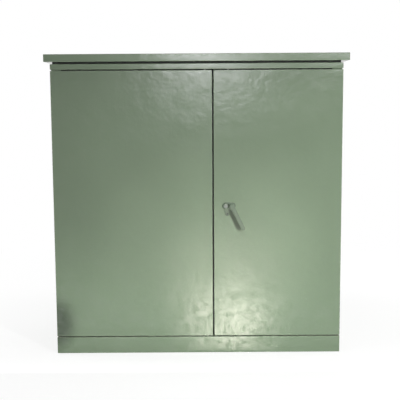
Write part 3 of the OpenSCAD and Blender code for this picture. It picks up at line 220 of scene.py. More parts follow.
class RadiatorSettings(bpy.types.PropertyGroup):
    """Pressed radiator plates"""
    flutes: number("Flutes", "Oil channels across one plate", 8)
    plates: number("Plates", "Plates in one radiator", 6)
    swell: length("Plate thickness", "Thickness at an oil channel", 0.011)
    seam: length("Seam thickness", "Thickness of the welded edge", 0.003)
    shoulder: length("Shoulder", "Distance over which a channel swells at its ends", 0.040)
    margin: length("Margin", "Distance over which a plate swells from its sides at a pipe", 0.030)
    header: length("Header", "Reach of the swelling round a pipe", 0.060)
    columns: number("Columns", "Facets across one oil channel", 10)
    rows: number("Rows", "Facets along a plate", 46)
    pipe: length("Pipe radius", "Radius of the oil pipes", 0.035)
    pipe_end: length("Pipe distance", "Distance of the pipes from the plate ends", 0.075)
    pitch: length("Plate pitch", "Distance from one plate to the next", 0.045)
    stub: length("First plate", "Distance of the first plate from the tank", 0.070)


class StageSettings(bpy.types.PropertyGroup):
    """Camera and lamps"""
    eye: point("Camera place", "Where the camera stands", (0.014, -5.168, 1.431))
    pitch: angle("Pitch", "How far the camera looks down", 6.84)
    roll: angle("Roll", "How far the picture leans", 0.36)
    sensor: share("Sensor", "Width of the camera's sensor in millimetres", 36.0)
    lens: share("Lens", "Focal length in millimetres", 71.3)
    sky: share("Room light", "Strength of the even light from all round", 0.05)
    key: power("Key lamp", "Power of the lamp at the right", 54.0)
    key_at: point("Key lamp place", "Where the key and spot lamps hang", (2.45, -4.75, 1.35))
    key_w: length("Key lamp width", "Width of the key and spot lamps", 0.28)
    key_spread: share("Key spread", "Opening of the key lamp's shade in degrees", 100.0)
    spot: power("Spot lamp", "Power of the narrow lamp beside the key lamp", 0.9)
    spot_spread: share("Spot spread", "Opening of the spot lamp's shade in degrees", 17.0)
    over: power("Overhead strip", "Power of the strip above the front edge", 15.0)
    glow: power("Round panel", "Power of the panel behind the camera", 38.0)
    glint: power("Cap panel", "Power of the small panel that the middle of the cap mirrors", 16.0)
    glint_end: power("End panel", "Power of the small panel that the cap's end mirrors", 14.4)
    bounce: power("Ground panel", "Power of the panel that lights the foot of the doors", 3.8)
    fill: power("Fill panels", "Power of the panels at the sides and the back", 105.0)
    fill_top: power("Top panel", "Power of the panel overhead", 52.5)


class ScreenSettings(bpy.types.PropertyGroup):
    """Glowing screen on the floor that only gloss mirrors"""
    glow: share("Glow", "Strength of the screen", 10.6)
    tint: colour("Tint", "Colour of the glow", "#FFF4EA")
    edge: point("Near edge", "Middle of the edge below the doors", (0.3, -0.70, 0.012))
    width: length("Width", "Width of the screen", 3.6)
    run: length("Length", "How far the screen reaches to the front", 10.0)
    aside: length("Aside", "How far the middle of the glow lies right of the camera", 0.155)
    narrow: length("Near reach", "Half width of the glow at the near edge", 0.37)
    wide: length("Far reach", "Half width of the glow far from the doors", 0.58)
    patch: length("Patch width", "Width of the patches in the glow", 0.11)
    patch_run: length("Patch length", "Length of the patches in the glow", 0.42)
    dark: share("Dark patches", "How bright the darkest patches are", 0.45)
    bright: share("Bright patches", "How bright the brightest patches are", 1.50)


class FloorSettings(bpy.types.PropertyGroup):
    """Pale floor that goes over into white"""
    bounce: colour("Bounce", "Colour that the floor throws back on the object", "#A0A09E")
    shade: colour("Shade", "Colour that takes the object's shadow", "#8E8E8E")
    lift: share("Lift", "Own light that pales the shadow", 0.80)
    near: length("Near", "Distance from the object where the floor starts to turn white", 1.3)
    far: length("Far", "Distance from the object where the floor is white", 3.2)
    radius: length("Radius", "Radius of the floor", 16.0)
    drop: length("Drop", "Distance of the floor below the object", 0.0005)


def put(tree, kind, inputs=None, stops=None, **settings):
    """Adds a node with its settings; inputs hold values, or sockets of other nodes to link. Numbered
    inputs are, for Map Range, 0 the value, 1 and 2 the range it has, 3 and 4 the range it gets, and for
    Mix, 0 the share, 6 and 7 the two colours. Stops of a ramp are colours or grey values"""
    node = tree.nodes.new(kind)
    for key, value in settings.items():
        setattr(node, key, value)
    for key, value in (inputs or {}).items():
        if isinstance(value, bpy.types.NodeSocket):
            tree.links.new(value, node.inputs[key])
        else:
            node.inputs[key].default_value = value
    if stops:
        ramp = node.color_ramp.elements
        for _ in stops[2:]:
            ramp.new(0.5)
        for element, (place, value) in zip(ramp, stops):
            element.position = place
            element.color = (value,) * 3 + (1.0,) if isinstance(value, float) else value
    return node


def empty_tree(owner):
    """The cleared node tree of a material or a world"""
    owner.use_nodes = True
    owner.node_tree.nodes.clear()
    return owner.node_tree


def begin(name):
    """A new material: its tree, its surface shader and Object coordinates"""
    finish = bpy.data.materials.new(name)
    tree = empty_tree(finish)
    shader = put(tree, "ShaderNodeBsdfPrincipled")
    put(tree, "ShaderNodeOutputMaterial", {"Surface": shader.outputs[0]})
    place = put(tree, "ShaderNodeTexCoord").outputs["Object"]
    return finish, tree, shader, place


def wire(tree, shader, **sources):
    """Links sockets to a shader's inputs; an underscore in a name stands for a space"""
    for key, socket in sources.items():
        tree.links.new(socket, shader.inputs[key.replace("_", " ")])


def once(build):
    """Makes the material that a function is named for on the first call, and gives it again later"""
    @functools.wraps(build)
    def give():
        return bpy.data.materials.get(build.__name__) or build()
    return give


def enamel_coat(tree, s, place, cloud):
    """Colour of the coat: clouds where it is thick or thin, and streaks that rain leaves"""
    coat = put(tree, "ShaderNodeValToRGB", {0: cloud},
               stops=((0.15, s.thick), (0.50, s.base), (0.85, s.thin)))
    drawn = put(tree, "ShaderNodeMapping", {"Vector": place,
                                            "Scale": (1 / s.streak, 1 / s.streak, 1 / s.streak_run)})
    streaks = put(tree, "ShaderNodeTexNoise", {"Vector": drawn.outputs[0], "Scale": 1.0, "Detail": 3.0})
    run = put(tree, "ShaderNodeMapRange", {0: streaks.outputs[0], 1: 0.50, 2: 0.95, 3: 0.0, 4: s.streaked})
    return put(tree, "ShaderNodeMix", {0: run.outputs[0], 6: coat.outputs[0], 7: s.thick},
               data_type="RGBA").outputs[2]


def ground_dirt(tree, s, place, height, speck):
    """Share of the grime colour: dirt splashed within a hand's height of the ground, and a soft patch
    of painted shade at the left foot
    """
    low = put(tree, "ShaderNodeMapRange", {0: height, 1: s.splash, 2: 0.0, 3: 0.0, 4: s.splashed},
              interpolation_type="SMOOTHSTEP")
    splash = put(tree, "ShaderNodeMath", {0: low.outputs[0], 1: speck}, operation="MULTIPLY")
    # Painted shade: a dark patch round a point at the left foot
    middle = tuple(-at / size for at, size in zip(s.scuff_at, s.scuff_size))
    scale = tuple(1 / size for size in s.scuff_size)
    foot = put(tree, "ShaderNodeMapping", {"Vector": place, "Location": middle, "Scale": scale})
    reach = put(tree, "ShaderNodeVectorMath", {0: foot.outputs[0]}, operation="LENGTH")
    shade_patch = put(tree, "ShaderNodeMapRange",
                {0: reach.outputs["Value"], 1: 1.0, 2: 0.3, 3: 0.0, 4: s.scuffed},
                interpolation_type="SMOOTHSTEP")
    return put(tree, "ShaderNodeMath", {0: splash.outputs[0], 1: shade_patch.outputs[0]},
               operation="MAXIMUM").outputs[0]


def dust_film(tree, s, place, height):
    """Gloss under a thin film of dust that dulls it in blots, most of all near the ground"""
    blots = put(tree, "ShaderNodeTexNoise", {"Vector": place, "Scale": 1 / s.blot, "Detail": 4.0,
                                             "Roughness": 0.65})
    clean = put(tree, "ShaderNodeMath", {0: 0.5, 1: blots.outputs[0]}, operation="SUBTRACT")
    dim = put(tree, "ShaderNodeMapRange",
              {0: height, 1: s.film_top, 2: s.film_foot, 3: s.film_thin, 4: s.film_thick},
              interpolation_type="SMOOTHSTEP")
    return put(tree, "ShaderNodeMath", {0: clean.outputs[0], 1: dim.outputs[0], 2: 0.5},
               operation="MULTIPLY_ADD").outputs[0]


def sheet_relief(tree, s, place):
    """Slow waves and shallow dents in the sheet, and orange peel in the coat. Real orange peel is 2 to
    4 mm wide; it is drawn wider so that it shows"""
    normal = None
    for size, depth, detail, roughness in (
            (s.wave, s.wave_depth, 2.0, 0.4), (s.ripple, s.ripple_depth, 2.0, 0.5),
            (s.peel, s.peel_depth, 1.5, 0.5)):
        bumps = put(tree, "ShaderNodeTexNoise", {"Vector": place, "Scale": 1 / size, "Detail": detail,
                                                 "Roughness": roughness})
        inputs = {"Height": bumps.outputs[0], "Distance": depth, "Strength": 1.0}
        if normal:
            inputs["Normal"] = normal
        normal = put(tree, "ShaderNodeBump", inputs).outputs[0]
    return normal


@once
def sprayed_enamel():
    """Alkyd enamel sprayed on sheet steel: glossy, with orange peel, a cloudy coat, slow waves in the
    sheet that bend reflections, pale folds that are partly a thin coat and partly a painted highlight,
    dust, dirt splashed near the ground, and a patch of painted shade at the left foot"""
    s = bpy.context.scene.enamel
    finish, tree, shader, place = begin("sprayed_enamel")
    height = put(tree, "ShaderNodeSeparateXYZ", {0: place}).outputs[2]
    normal = put(tree, "ShaderNodeNewGeometry").outputs["Normal"]
    upward = put(tree, "ShaderNodeSeparateXYZ", {0: normal}).outputs[2]
    cloud = put(tree, "ShaderNodeTexNoise", {"Vector": place, "Scale": 1 / s.cloud, "Detail": 1.0,
                                             "Roughness": 0.4}).outputs[0]
    speck = put(tree, "ShaderNodeTexNoise", {"Vector": place, "Scale": 1 / s.speck, "Detail": 6.0,
                                             "Roughness": 0.65}).outputs[0]
    facing = put(tree, "ShaderNodeMapRange", {0: upward, 1: 0.6, 2: 0.95, 3: 0.0, 4: s.dusted})
    dust = put(tree, "ShaderNodeMath", {0: facing.outputs[0], 1: speck}, operation="MULTIPLY").outputs[0]
    # Paler folds: partly a thin coat, partly a painted highlight
    folds = put(tree, "ShaderNodeAttribute", attribute_name="rubbed").outputs["Fac"]
    worn = put(tree, "ShaderNodeMath", {0: folds, 1: s.worn}, operation="MULTIPLY").outputs[0]

    tone = enamel_coat(tree, s, place, cloud)
    # Dirt splashed near the ground, and painted shade at the left foot
    dirt = ground_dirt(tree, s, place, height, speck)
    for layer, cover in ((dirt, s.grime), (dust, s.dust), (worn, s.rubbed)):
        tone = put(tree, "ShaderNodeMix", {0: layer, 6: tone, 7: cover}, data_type="RGBA").outputs[2]
    mottle = put(tree, "ShaderNodeMapRange", {0: cloud, 1: 0.3, 2: 0.7, 3: s.gloss - 0.02,
                                              4: s.gloss + 0.04})
    matt = put(tree, "ShaderNodeMath", {0: dust, 1: 0.5, 2: mottle.outputs[0]}, operation="MULTIPLY_ADD")
    wire(tree, shader, Base_Color=tone, Roughness=matt.outputs[0], Normal=sheet_relief(tree, s, place),
         Specular_IOR_Level=dust_film(tree, s, place, height))
    return finish


def handled_metal(name, tone, roughness, spread, grain, depth=0.00002, stretch=(1.0, 1.0, 1.0), tint=0.82,
                  metallic=1.0):
    """A bare or plated metal: a clean tone that dulls in patches, with a fine grain of the given size"""
    finish, tree, shader, place = begin(name)
    shader.inputs["Metallic"].default_value = metallic
    patch = put(tree, "ShaderNodeTexNoise", {"Vector": place, "Scale": 1 / bpy.context.scene.metal.smear,
                                             "Detail": 5.0, "Roughness": 0.6})
    dull = tuple(c * tint for c in tone[:3]) + (1.0,)
    blend = put(tree, "ShaderNodeValToRGB", {0: patch.outputs[0]}, stops=((0.35, dull), (0.62, tone)))
    rough = put(tree, "ShaderNodeMapRange", {0: patch.outputs[0], 1: 0.3, 2: 0.7, 3: roughness + spread,
                                             4: roughness})
    drawn = put(tree, "ShaderNodeMapping", {"Vector": place, "Scale": stretch})
    scratch = put(tree, "ShaderNodeTexNoise", {"Vector": drawn.outputs[0], "Scale": 1 / grain,
                                               "Detail": 3.0})
    bump = put(tree, "ShaderNodeBump", {"Height": scratch.outputs[0], "Distance": depth, "Strength": 1.0})
    wire(tree, shader, Base_Color=blend.outputs[0], Roughness=rough.outputs[0], Normal=bump.outputs[0])
    return finish


@once
def chrome_plate():
    """Polished chrome on a zinc casting: near mirror, with faint finger marks"""
    return handled_metal("chrome_plate", bpy.context.scene.metal.chrome, roughness=0.07, spread=0.10,
                         grain=0.02, depth=0.00001)


@once
def aluminium_lacquer():
    """Aluminium lacquer sprayed on a zinc casting: metal flake in a clear coat, so that it takes soft
    light and shade like paint and still gleams on its edges"""
    return handled_metal("aluminium_lacquer", bpy.context.scene.metal.lacquer, roughness=0.17, spread=0.06,
                         grain=0.006, depth=0.00003, tint=0.9, metallic=0.4)


@once
def zinc_plate():
    """Zinc plate on steel: satin grey that dulls in patches"""
    return handled_metal("zinc_plate", bpy.context.scene.metal.zinc, roughness=0.30, spread=0.22,
                         grain=0.004)


@once
def blackened_steel():
    """Oil-blackened steel screw: near black with a dull sheen"""
    return handled_metal("blackened_steel", bpy.context.scene.metal.black, roughness=0.36, spread=0.12,
                         grain=0.003)


@once
def bare_copper():
    """Rolled copper bar: warm, with brown tarnish and rolling lines along its length"""
    return handled_metal("bare_copper", bpy.context.scene.metal.copper, roughness=0.28, spread=0.20,
                         grain=0.003, stretch=(1.0, 1.0, 0.05), tint=0.6)


@once
def tinned_bar():
    """Tinned copper bar: pale satin with soft smears"""
    return handled_metal("tinned_bar", bpy.context.scene.metal.tin, roughness=0.26, spread=0.18, grain=0.005,
                         stretch=(1.0, 0.1, 1.0))


@once
def cast_brass():
    """Cast brass: yellow, with a sand-cast grain"""
    return handled_metal("cast_brass", bpy.context.scene.metal.brass, roughness=0.34, spread=0.20,
                         grain=0.0025, depth=0.00012, tint=0.65)


# A wave texture's bands are this far apart at scale 1, in metres
WAVE_BAND = 0.314


@once
def lamination_steel():
    """Stacked electrical steel, coated grey: thin lines across the stack. Real sheets are 0.3 mm thick;
    they are drawn as packs so that they show"""
    s = bpy.context.scene.metal
    finish, tree, shader, place = begin("lamination_steel")
    shader.inputs["Metallic"].default_value = 0.8
    shader.inputs["Roughness"].default_value = 0.45
    stack = put(tree, "ShaderNodeTexWave", {"Vector": place, "Scale": WAVE_BAND / s.sheets,
                                            "Distortion": 0.4, "Detail": 2.0},
                bands_direction="Y").outputs["Fac"]
    dark = tuple(c * 0.55 for c in s.lamination[:3]) + (1.0,)
    blend = put(tree, "ShaderNodeValToRGB", {0: stack}, stops=((0.05, dark), (0.3, s.lamination)))
    bump = put(tree, "ShaderNodeBump", {"Height": stack, "Distance": 0.0002, "Strength": 1.0})
    wire(tree, shader, Base_Color=blend.outputs[0], Normal=bump.outputs[0])
    return finish


@once
def paper_winding():
    """Conductor wrapped in kraft paper: tan, with a band for each turn"""
    s = bpy.context.scene.metal
    finish, tree, shader, place = begin("paper_winding")
    shader.inputs["Roughness"].default_value = 0.7
    turns = put(tree, "ShaderNodeTexWave", {"Vector": place, "Scale": WAVE_BAND / s.turn,
                                            "Distortion": 0.6, "Detail": 2.0, "Detail Scale": 2.0},
                bands_direction="Z").outputs["Fac"]
    tone = put(tree, "ShaderNodeValToRGB", {0: turns},
               stops=((0.0, linear("#8C6A3C")), (0.35, linear("#C39C62")), (1.0, linear("#CFAA71"))))
    bump = put(tree, "ShaderNodeBump", {"Height": turns, "Distance": 0.001, "Strength": 1.0})
    wire(tree, shader, Base_Color=tone.outputs[0], Normal=bump.outputs[0])
    return finish


def moulded(name, code, dark, roughness, grain, depth, coat=0.0, speck=0.012):
    """A moulded, glazed or painted surface: a tone that varies softly, with a fine skin texture"""
    finish, tree, shader, place = begin(name)
    shader.inputs["Coat Weight"].default_value = coat
    shader.inputs["Coat Roughness"].default_value = 0.06
    shade = put(tree, "ShaderNodeTexNoise", {"Vector": place, "Scale": 1 / speck, "Detail": 5.0,
                                             "Roughness": 0.6})
    blend = put(tree, "ShaderNodeValToRGB", {0: shade.outputs[0]},
                stops=((0.32, linear(dark)), (0.60, linear(code))))
    rough = put(tree, "ShaderNodeMapRange", {0: shade.outputs[0], 1: 0.3, 2: 0.7, 3: roughness + 0.08,
                                             4: roughness - 0.03})
    skin = put(tree, "ShaderNodeTexNoise", {"Vector": place, "Scale": 1 / grain, "Detail": 2.0})
    bump = put(tree, "ShaderNodeBump", {"Height": skin.outputs[0], "Distance": depth, "Strength": 1.0})
    wire(tree, shader, Base_Color=blend.outputs[0], Roughness=rough.outputs[0], Normal=bump.outputs[0])
    return finish


@once
def seal_rubber():
    """Extruded seal rubber: dull black with a pale bloom"""
    return moulded("seal_rubber", "#2B2D2B", "#191B19", roughness=0.62, grain=0.003, depth=0.00008)


@once
def primed_steel():
    """Primer sprayed on the clamp bars: flat blue grey"""
    return moulded("primed_steel", "#66737B", "#545F66", roughness=0.55, grain=0.004, depth=0.00006)


@once
def brown_epoxy():
    """Cast epoxy of the primary bushings: smooth brown with a soft gloss"""
    return moulded("brown_epoxy", "#6A4030", "#5A3527", roughness=0.30, grain=0.006, depth=0.00003)


@once
def brown_glaze():
    """Glazed porcelain of the secondary bushings: deep brown under a clear glassy coat"""
    return moulded("brown_glaze", "#5E3524", "#3F2217", roughness=0.22, grain=0.010, depth=0.00006, coat=1.0,
                   speck=0.02)


@once
def black_tube():
    """Wound glass-fibre tube of the fuse housings: satin black"""
    return moulded("black_tube", "#2A2B2A", "#1B1C1B", roughness=0.42, grain=0.0035, depth=0.00006)


@once
def yellow_grip():
    """Moulded nylon of the fuse grips: warm yellow, slightly scuffed"""
    return moulded("yellow_grip", "#C9A53A", "#B28F2C", roughness=0.38, grain=0.004, depth=0.00005)


@once
def black_case():
    """Moulded gauge cases: black with a fine leather-like grain"""
    return moulded("black_case", "#232524", "#171918", roughness=0.48, grain=0.0025, depth=0.00008)


@once
def red_enamel():
    """Brushed-on red enamel of the switch handle, handwheel and pointers"""
    return moulded("red_enamel", "#A3332A", "#8B2A22", roughness=0.28, grain=0.008, depth=0.00008)


@once
def dial_card():
    """Printed dial: matt white card"""
    return moulded("dial_card", "#E4E3DB", "#D9D7CC", roughness=0.6, grain=0.003, depth=0.00001)


@once
def dial_ink():
    """Black ink of the dial's marks"""
    return moulded("dial_ink", "#1F2021", "#161718", roughness=0.5, grain=0.003, depth=0.00001)


@once
def clear_glass():
    """Flat gauge glass: clear, with a trace of green and faint wiping marks"""
    finish, tree, shader, place = begin("clear_glass")
    for key, value in (("Base Color", linear("#F2F7F4")), ("Transmission Weight", 1.0), ("IOR", 1.5)):
        shader.inputs[key].default_value = value
    smear = put(tree, "ShaderNodeTexNoise", {"Vector": place, "Scale": 1 / 0.02, "Detail": 3.0})
    rough = put(tree, "ShaderNodeMapRange", {0: smear.outputs[0], 1: 0.4, 2: 0.8, 3: 0.01, 4: 0.06})
    wire(tree, shader, Roughness=rough.outputs[0])
    return finish


def dress(finish, radius, *nodes):
    """Gives packed solids their finish and rounds their edges with live modifiers"""
    for node in nodes:
        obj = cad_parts[node]
        obj.material_slots[0].material = finish
        if radius <= 0.0:
            continue
        weld = obj.modifiers.new("Join corners", "WELD")
        weld.merge_threshold = SAME_POINT
        flat = obj.modifiers.new("Join flat faces", "DECIMATE")
        flat.decimate_type = "DISSOLVE"
        flat.angle_limit = FLAT
        bevel = obj.modifiers.new("Round edges", "BEVEL")
        bevel.width = radius
        bevel.segments = 2
        bevel.limit_method = "ANGLE"
        bevel.angle_limit = SHADED
        bevel.harden_normals = True


def solid_copy(node):
    """A merged copy of a packed solid with its flat faces joined, ready for new edges"""
    bm = bmesh.new()
    bm.from_mesh(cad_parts[node].data)
    bmesh.ops.remove_doubles(bm, verts=bm.verts, dist=SAME_POINT)
    bmesh.ops.dissolve_limit(bm, angle_limit=FLAT, verts=bm.verts, edges=bm.edges)
    # Layer for the paler folds, partly thin coat and partly painted highlight
    bm.faces.layers.float.new("rubbed")
    return bm


def corners(bm, inside=None):
    """The sharp edges of a mesh, or those whose two ends both pass the test"""
    return [e for e in bm.edges if len(e.link_faces) == 2 and e.calc_face_angle() > CORNER
            and (inside is None or all(inside(v.co) for v in e.verts))]


def bevelled(bm, edges, radius, segments=2):
    """Cuts edges to a round and gives the new faces"""
    return bmesh.ops.bevel(bm, geom=edges, offset=radius, offset_type="OFFSET", segments=segments,
                           profile=0.5, affect="EDGES", clamp_overlap=True, material=-1)["faces"]


def round_off(bm, edges, radius, segments=3, rubbed=0.0):
    """Rounds edges of a copied solid, and marks the new faces by that share for the paler fold colour,
    which is partly a thin coat and partly a painted highlight
    """
    layer = bm.faces.layers.float["rubbed"]
    for face in bevelled(bm, edges, radius, segments):
        face[layer] = max(face[layer], rubbed)


def mesh_object(name, bm, finish):
    """Turns a finished bmesh into an object of the scene"""
    mesh = bpy.data.meshes.new(name)
    bm.to_mesh(mesh)
    bm.free()
    mesh.materials.append(finish)
    obj = bpy.data.objects.new(name, mesh)
    bpy.context.scene.collection.objects.link(obj)
    return obj


def piece(name, bm, finish, body, stands_for=()):
    """Turns a finished bmesh into an object that rides on a body"""
    for face in bm.faces:
        face.smooth = True
    for edge in bm.edges:
        edge.smooth = len(edge.link_faces) != 2 or edge.calc_face_angle() < SHADED
    obj = mesh_object(name, bm, finish)
    even = obj.modifiers.new("Even normals", "WEIGHTED_NORMAL")
    even.keep_sharp = True
    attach(obj, body)
    if stands_for:
        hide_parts(*stands_for)


def outwards(x, y, z):
    """Places a turned shape at a point with its axis towards the front"""
    return Matrix.Translation((x, y, z)) @ Matrix.Rotation(math.radians(90), 4, "X")


def backwards(x, y, z):
    """Places a turned shape at a point with its axis towards the back"""
    return Matrix.Translation((x, y, z)) @ Matrix.Rotation(math.radians(-90), 4, "X")


def turned(section, steps=32):
    """Spins a half section of (radius, height) pairs about the z axis"""
    bm = bmesh.new()
    line = [bm.verts.new((r, 0.0, h)) for r, h in section]
    edges = [bm.edges.new(pair) for pair in zip(line, line[1:])]
    bmesh.ops.spin(bm, geom=line + edges, cent=(0, 0, 0), axis=(0, 0, 1), dvec=(0, 0, 0),
                   angle=math.tau, steps=steps, use_merge=True, use_duplicate=False)
    bmesh.ops.remove_doubles(bm, verts=bm.verts, dist=SAME_POINT / 10)
    bmesh.ops.recalc_face_normals(bm, faces=bm.faces)
    return bm


def box(bm, low, high):
    """Adds a box between two corners"""
    low, high = Vector(low), Vector(high)
    place = Matrix.Translation((low + high) / 2)
    bmesh.ops.create_cube(bm, size=1.0, matrix=place @ Matrix.Diagonal((*(high - low), 1.0)))


def stamp(bm, part, *places):
    """Adds a copy of a part at each place, and lets the part go"""
    mesh = bpy.data.meshes.new("stamp")
    for place in places:
        copy = part.copy()
        copy.transform(place)
        copy.to_mesh(mesh)
        copy.free()
        bm.from_mesh(mesh)
    bpy.data.meshes.remove(mesh)
    part.free()


def islands(node):
    """Boxes of the separate solids in a node, from left to right"""
    bm = solid_copy(node)
    left, found = set(bm.verts), []
    while left:
        todo, part = [left.pop()], []
        while todo:
            v = todo.pop()
            part.append(v.co.copy())
            for e in v.link_edges:
                other = e.other_vert(v)
                if other in left:
                    left.remove(other)
                    todo.append(other)
        found.append((Vector(min(p[i] for p in part) for i in range(3)),
                      Vector(max(p[i] for p in part) for i in range(3))))
    bm.free()
    return sorted(found, key=lambda b: (round(b[0].x, 4), b[0].z))


class TRANSFORMER_OT_cabinet(bpy.types.Operator):
    """Side panels, frame, header, sill, barrier and roof cap of folded sheet"""
    bl_idname = "transformer.cabinet"
    bl_label = "Cabinet"

    def execute(self, context):
        s = context.scene.sheet
        paint = sprayed_enamel()
        dress(paint, s.edge, "side_panel_left", "side_panel_right", "door_jambs", "centre_post",
              "barrier_panel", "door_stops")
        for node, name in (("roof_cap", "roof_cap_sheet"), ("header_beam", "header_sheet"),
                           ("front_sill", "sill_sheet")):
            bm = solid_copy(node)
            low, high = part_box(node)
            outer = corners(bm, lambda p: min(p.y - low[1], p.x - low[0], high[0] - p.x) < ON_FACE)
            # Outer folds get the paler fold colour: partly thin coat, partly painted highlight
            round_off(bm, outer, s.fold, rubbed=0.6)
            round_off(bm, corners(bm), s.edge, 2)
            piece(name, bm, paint, "transformer", (node,))
        return {"FINISHED"}


# Half section of a spot weld, a shallow ring
SPOT_WELD = ((0.0, -0.0002), (0.0028, -0.0002), (0.0042, 0.0003), (0.0056, -0.0001))


class TRANSFORMER_OT_doors(bpy.types.Operator):
    """Folded doors with rounded folds, stiffeners and their spot welds"""
    bl_idname = "transformer.doors"
    bl_label = "Doors"

    def execute(self, context):
        s, d = context.scene.sheet, context.scene.door
        paint = sprayed_enamel()
        left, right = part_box("hv_door")[0][0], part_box("lv_door")[1][0]
        for node, body, ribs in (("hv_door", "left_door", (left + d.rib_pitch, left + 2 * d.rib_pitch)),
                                 ("lv_door", "right_door", (right - d.rib_pitch,))):
            low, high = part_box(node)
            bm = solid_copy(node)
            outline = corners(bm, lambda p: p.y - low[1] < ON_FACE and (
                min(p.x - low[0], high[0] - p.x, p.z - low[2], high[2] - p.z) < ON_FACE))
            # Door folds get the full paler fold colour: partly thin coat, partly painted highlight
            round_off(bm, outline, s.fold, rubbed=1.0)
            round_off(bm, corners(bm), s.edge, 2)
            piece(body + "_pan", bm, paint, body, (node,))

            spots = bmesh.new()
            stamp(spots, turned(SPOT_WELD, 12),
                  *(backwards(x + side, low[1] + d.rib_back, low[2] + d.weld_first + k * d.weld_pitch)
                    for x in ribs for side in (-d.weld_rows, d.weld_rows) for k in range(d.welds)))
            piece(body + "_spot_welds", spots, paint, body)
        return {"FINISHED"}


class TRANSFORMER_OT_hinges(bpy.types.Operator):
    """Concealed hinges, seals, slide bolts, door stays, and black rubber strips that paint shade into the
    gaps
    """
    bl_idname = "transformer.hinges"
    bl_label = "Hinges, seals and stays"

    def execute(self, context):
        s, d = context.scene.sheet, context.scene.door
        rubber = seal_rubber()
        dress(sprayed_enamel(), s.bar, "hinge_brackets", "hv_hinge_leaves", "lv_hinge_leaves")
        dress(zinc_plate(), s.edge, "hinge_pins", "hv_top_bolt", "hv_bottom_bolt", "hv_door_stay",
              "lv_door_stay")
        dress(rubber, s.bar, "cabinet_seals")

        # Black rubber strips behind the gaps round the doors: painted shade, so that the gaps read dark
        left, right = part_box("hv_door"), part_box("lv_door")
        middle = (left[1][0] + right[0][0]) / 2
        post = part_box("centre_post")[0][1]
        bm = bmesh.new()
        box(bm, (middle - d.strip, post - d.strip_t, left[0][2] + d.strip_short),
            (middle + d.strip, post + d.strip_sink, left[1][2] - d.strip_short))
        for low, high in islands("door_stops"):
            box(bm, (low.x + d.strip_side, low.y - d.strip_t, low.z + d.strip_edge),
                (high.x - d.strip_side, low.y + d.strip_sink, high.z - d.strip_edge))
        bevelled(bm, bm.edges[:], d.strip_round)
        piece("gap_shade_strips", bm, rubber, "transformer")
        return {"FINISHED"}


# Half section of the screw's domed head with its socket
PLATE_SCREW = ((0.0, -0.0030), (0.0024, -0.0030), (0.0024, 0.0006), (0.0030, 0.0010), (0.0042, 0.0008),
               (0.0048, 0.0), (0.0048, -0.0040))


class TRANSFORMER_OT_handle(bpy.types.Operator):
    """Lacquered lever, its plate with the key lock, and the fixing screw"""
    bl_idname = "transformer.handle"
    bl_label = "Handle"

    def execute(self, context):
        s, h = context.scene.sheet, context.scene.handle
        lacquer = aluminium_lacquer()
        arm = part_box("door_handle")[0][1] + h.arm
        bm = solid_copy("door_handle")
        round_off(bm, corners(bm, lambda p: p.y < arm), h.arm_round, 4)
        round_off(bm, corners(bm, lambda p: p.y >= arm), s.edge, 2)
        piece("lever", bm, lacquer, "handle", ("door_handle",))

        low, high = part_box("handle_plate")
        face = high[1] - h.plate
        bm = solid_copy("handle_plate")
        round_off(bm, corners(bm, lambda p: p.y < low[1] + ON_FACE), h.ring_round)
        round_off(bm, corners(bm, lambda p: p.y < face + ON_FACE), s.cast)
        round_off(bm, corners(bm), s.edge, 2)
        piece("lever_plate", bm, lacquer, "right_door", ("handle_plate",))
        dress(chrome_plate(), s.edge, "lock_cylinder")

        bm = bmesh.new()
        stamp(bm, turned(PLATE_SCREW, 24), outwards(low[0] + h.screw_x, face, low[2] + h.screw_z))
        piece("lever_plate_screw", bm, blackened_steel(), "right_door")
        return {"FINISHED"}


class TRANSFORMER_OT_latch(bpy.types.Operator):
    """Latch cam and rods behind the right door"""
    bl_idname = "transformer.latch"
    bl_label = "Latch"

    def execute(self, context):
        dress(zinc_plate(), context.scene.sheet.edge, "latch_cam", "latch_rod_upper", "latch_rod_lower")
        return {"FINISHED"}


def bead(bm, start, end, radius):
    """Adds a run of weld between two points: three rings of facets to a drop, one of them drawn in"""
    start, end = Vector(start), Vector(end)
    run = end - start
    part = bmesh.new()
    bmesh.ops.create_cone(part, cap_ends=True, segments=8, radius1=radius, radius2=radius,
                          depth=run.length)
    sides = [e for e in part.edges if abs(e.verts[0].co.z - e.verts[1].co.z) > SAME_POINT]
    count = max(4, int(run.length / bpy.context.scene.tank.drop) * 3)
    bmesh.ops.subdivide_edges(part, edges=sides, cuts=count - 1, use_grid_fill=False)
    for v in part.verts:
        swell = 1.0 if round((v.co.z / run.length + 0.5) * count) % 3 else 0.78
        v.co.x *= swell
        v.co.y *= swell
    turn = run.to_track_quat("Z", "Y").to_matrix().to_4x4()
    stamp(bm, part, Matrix.Translation((start + end) / 2) @ turn)


def tank_front():
    """Where the tank's front plate begins, which the side panels butt against"""
    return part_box("side_panel_right")[1][1]


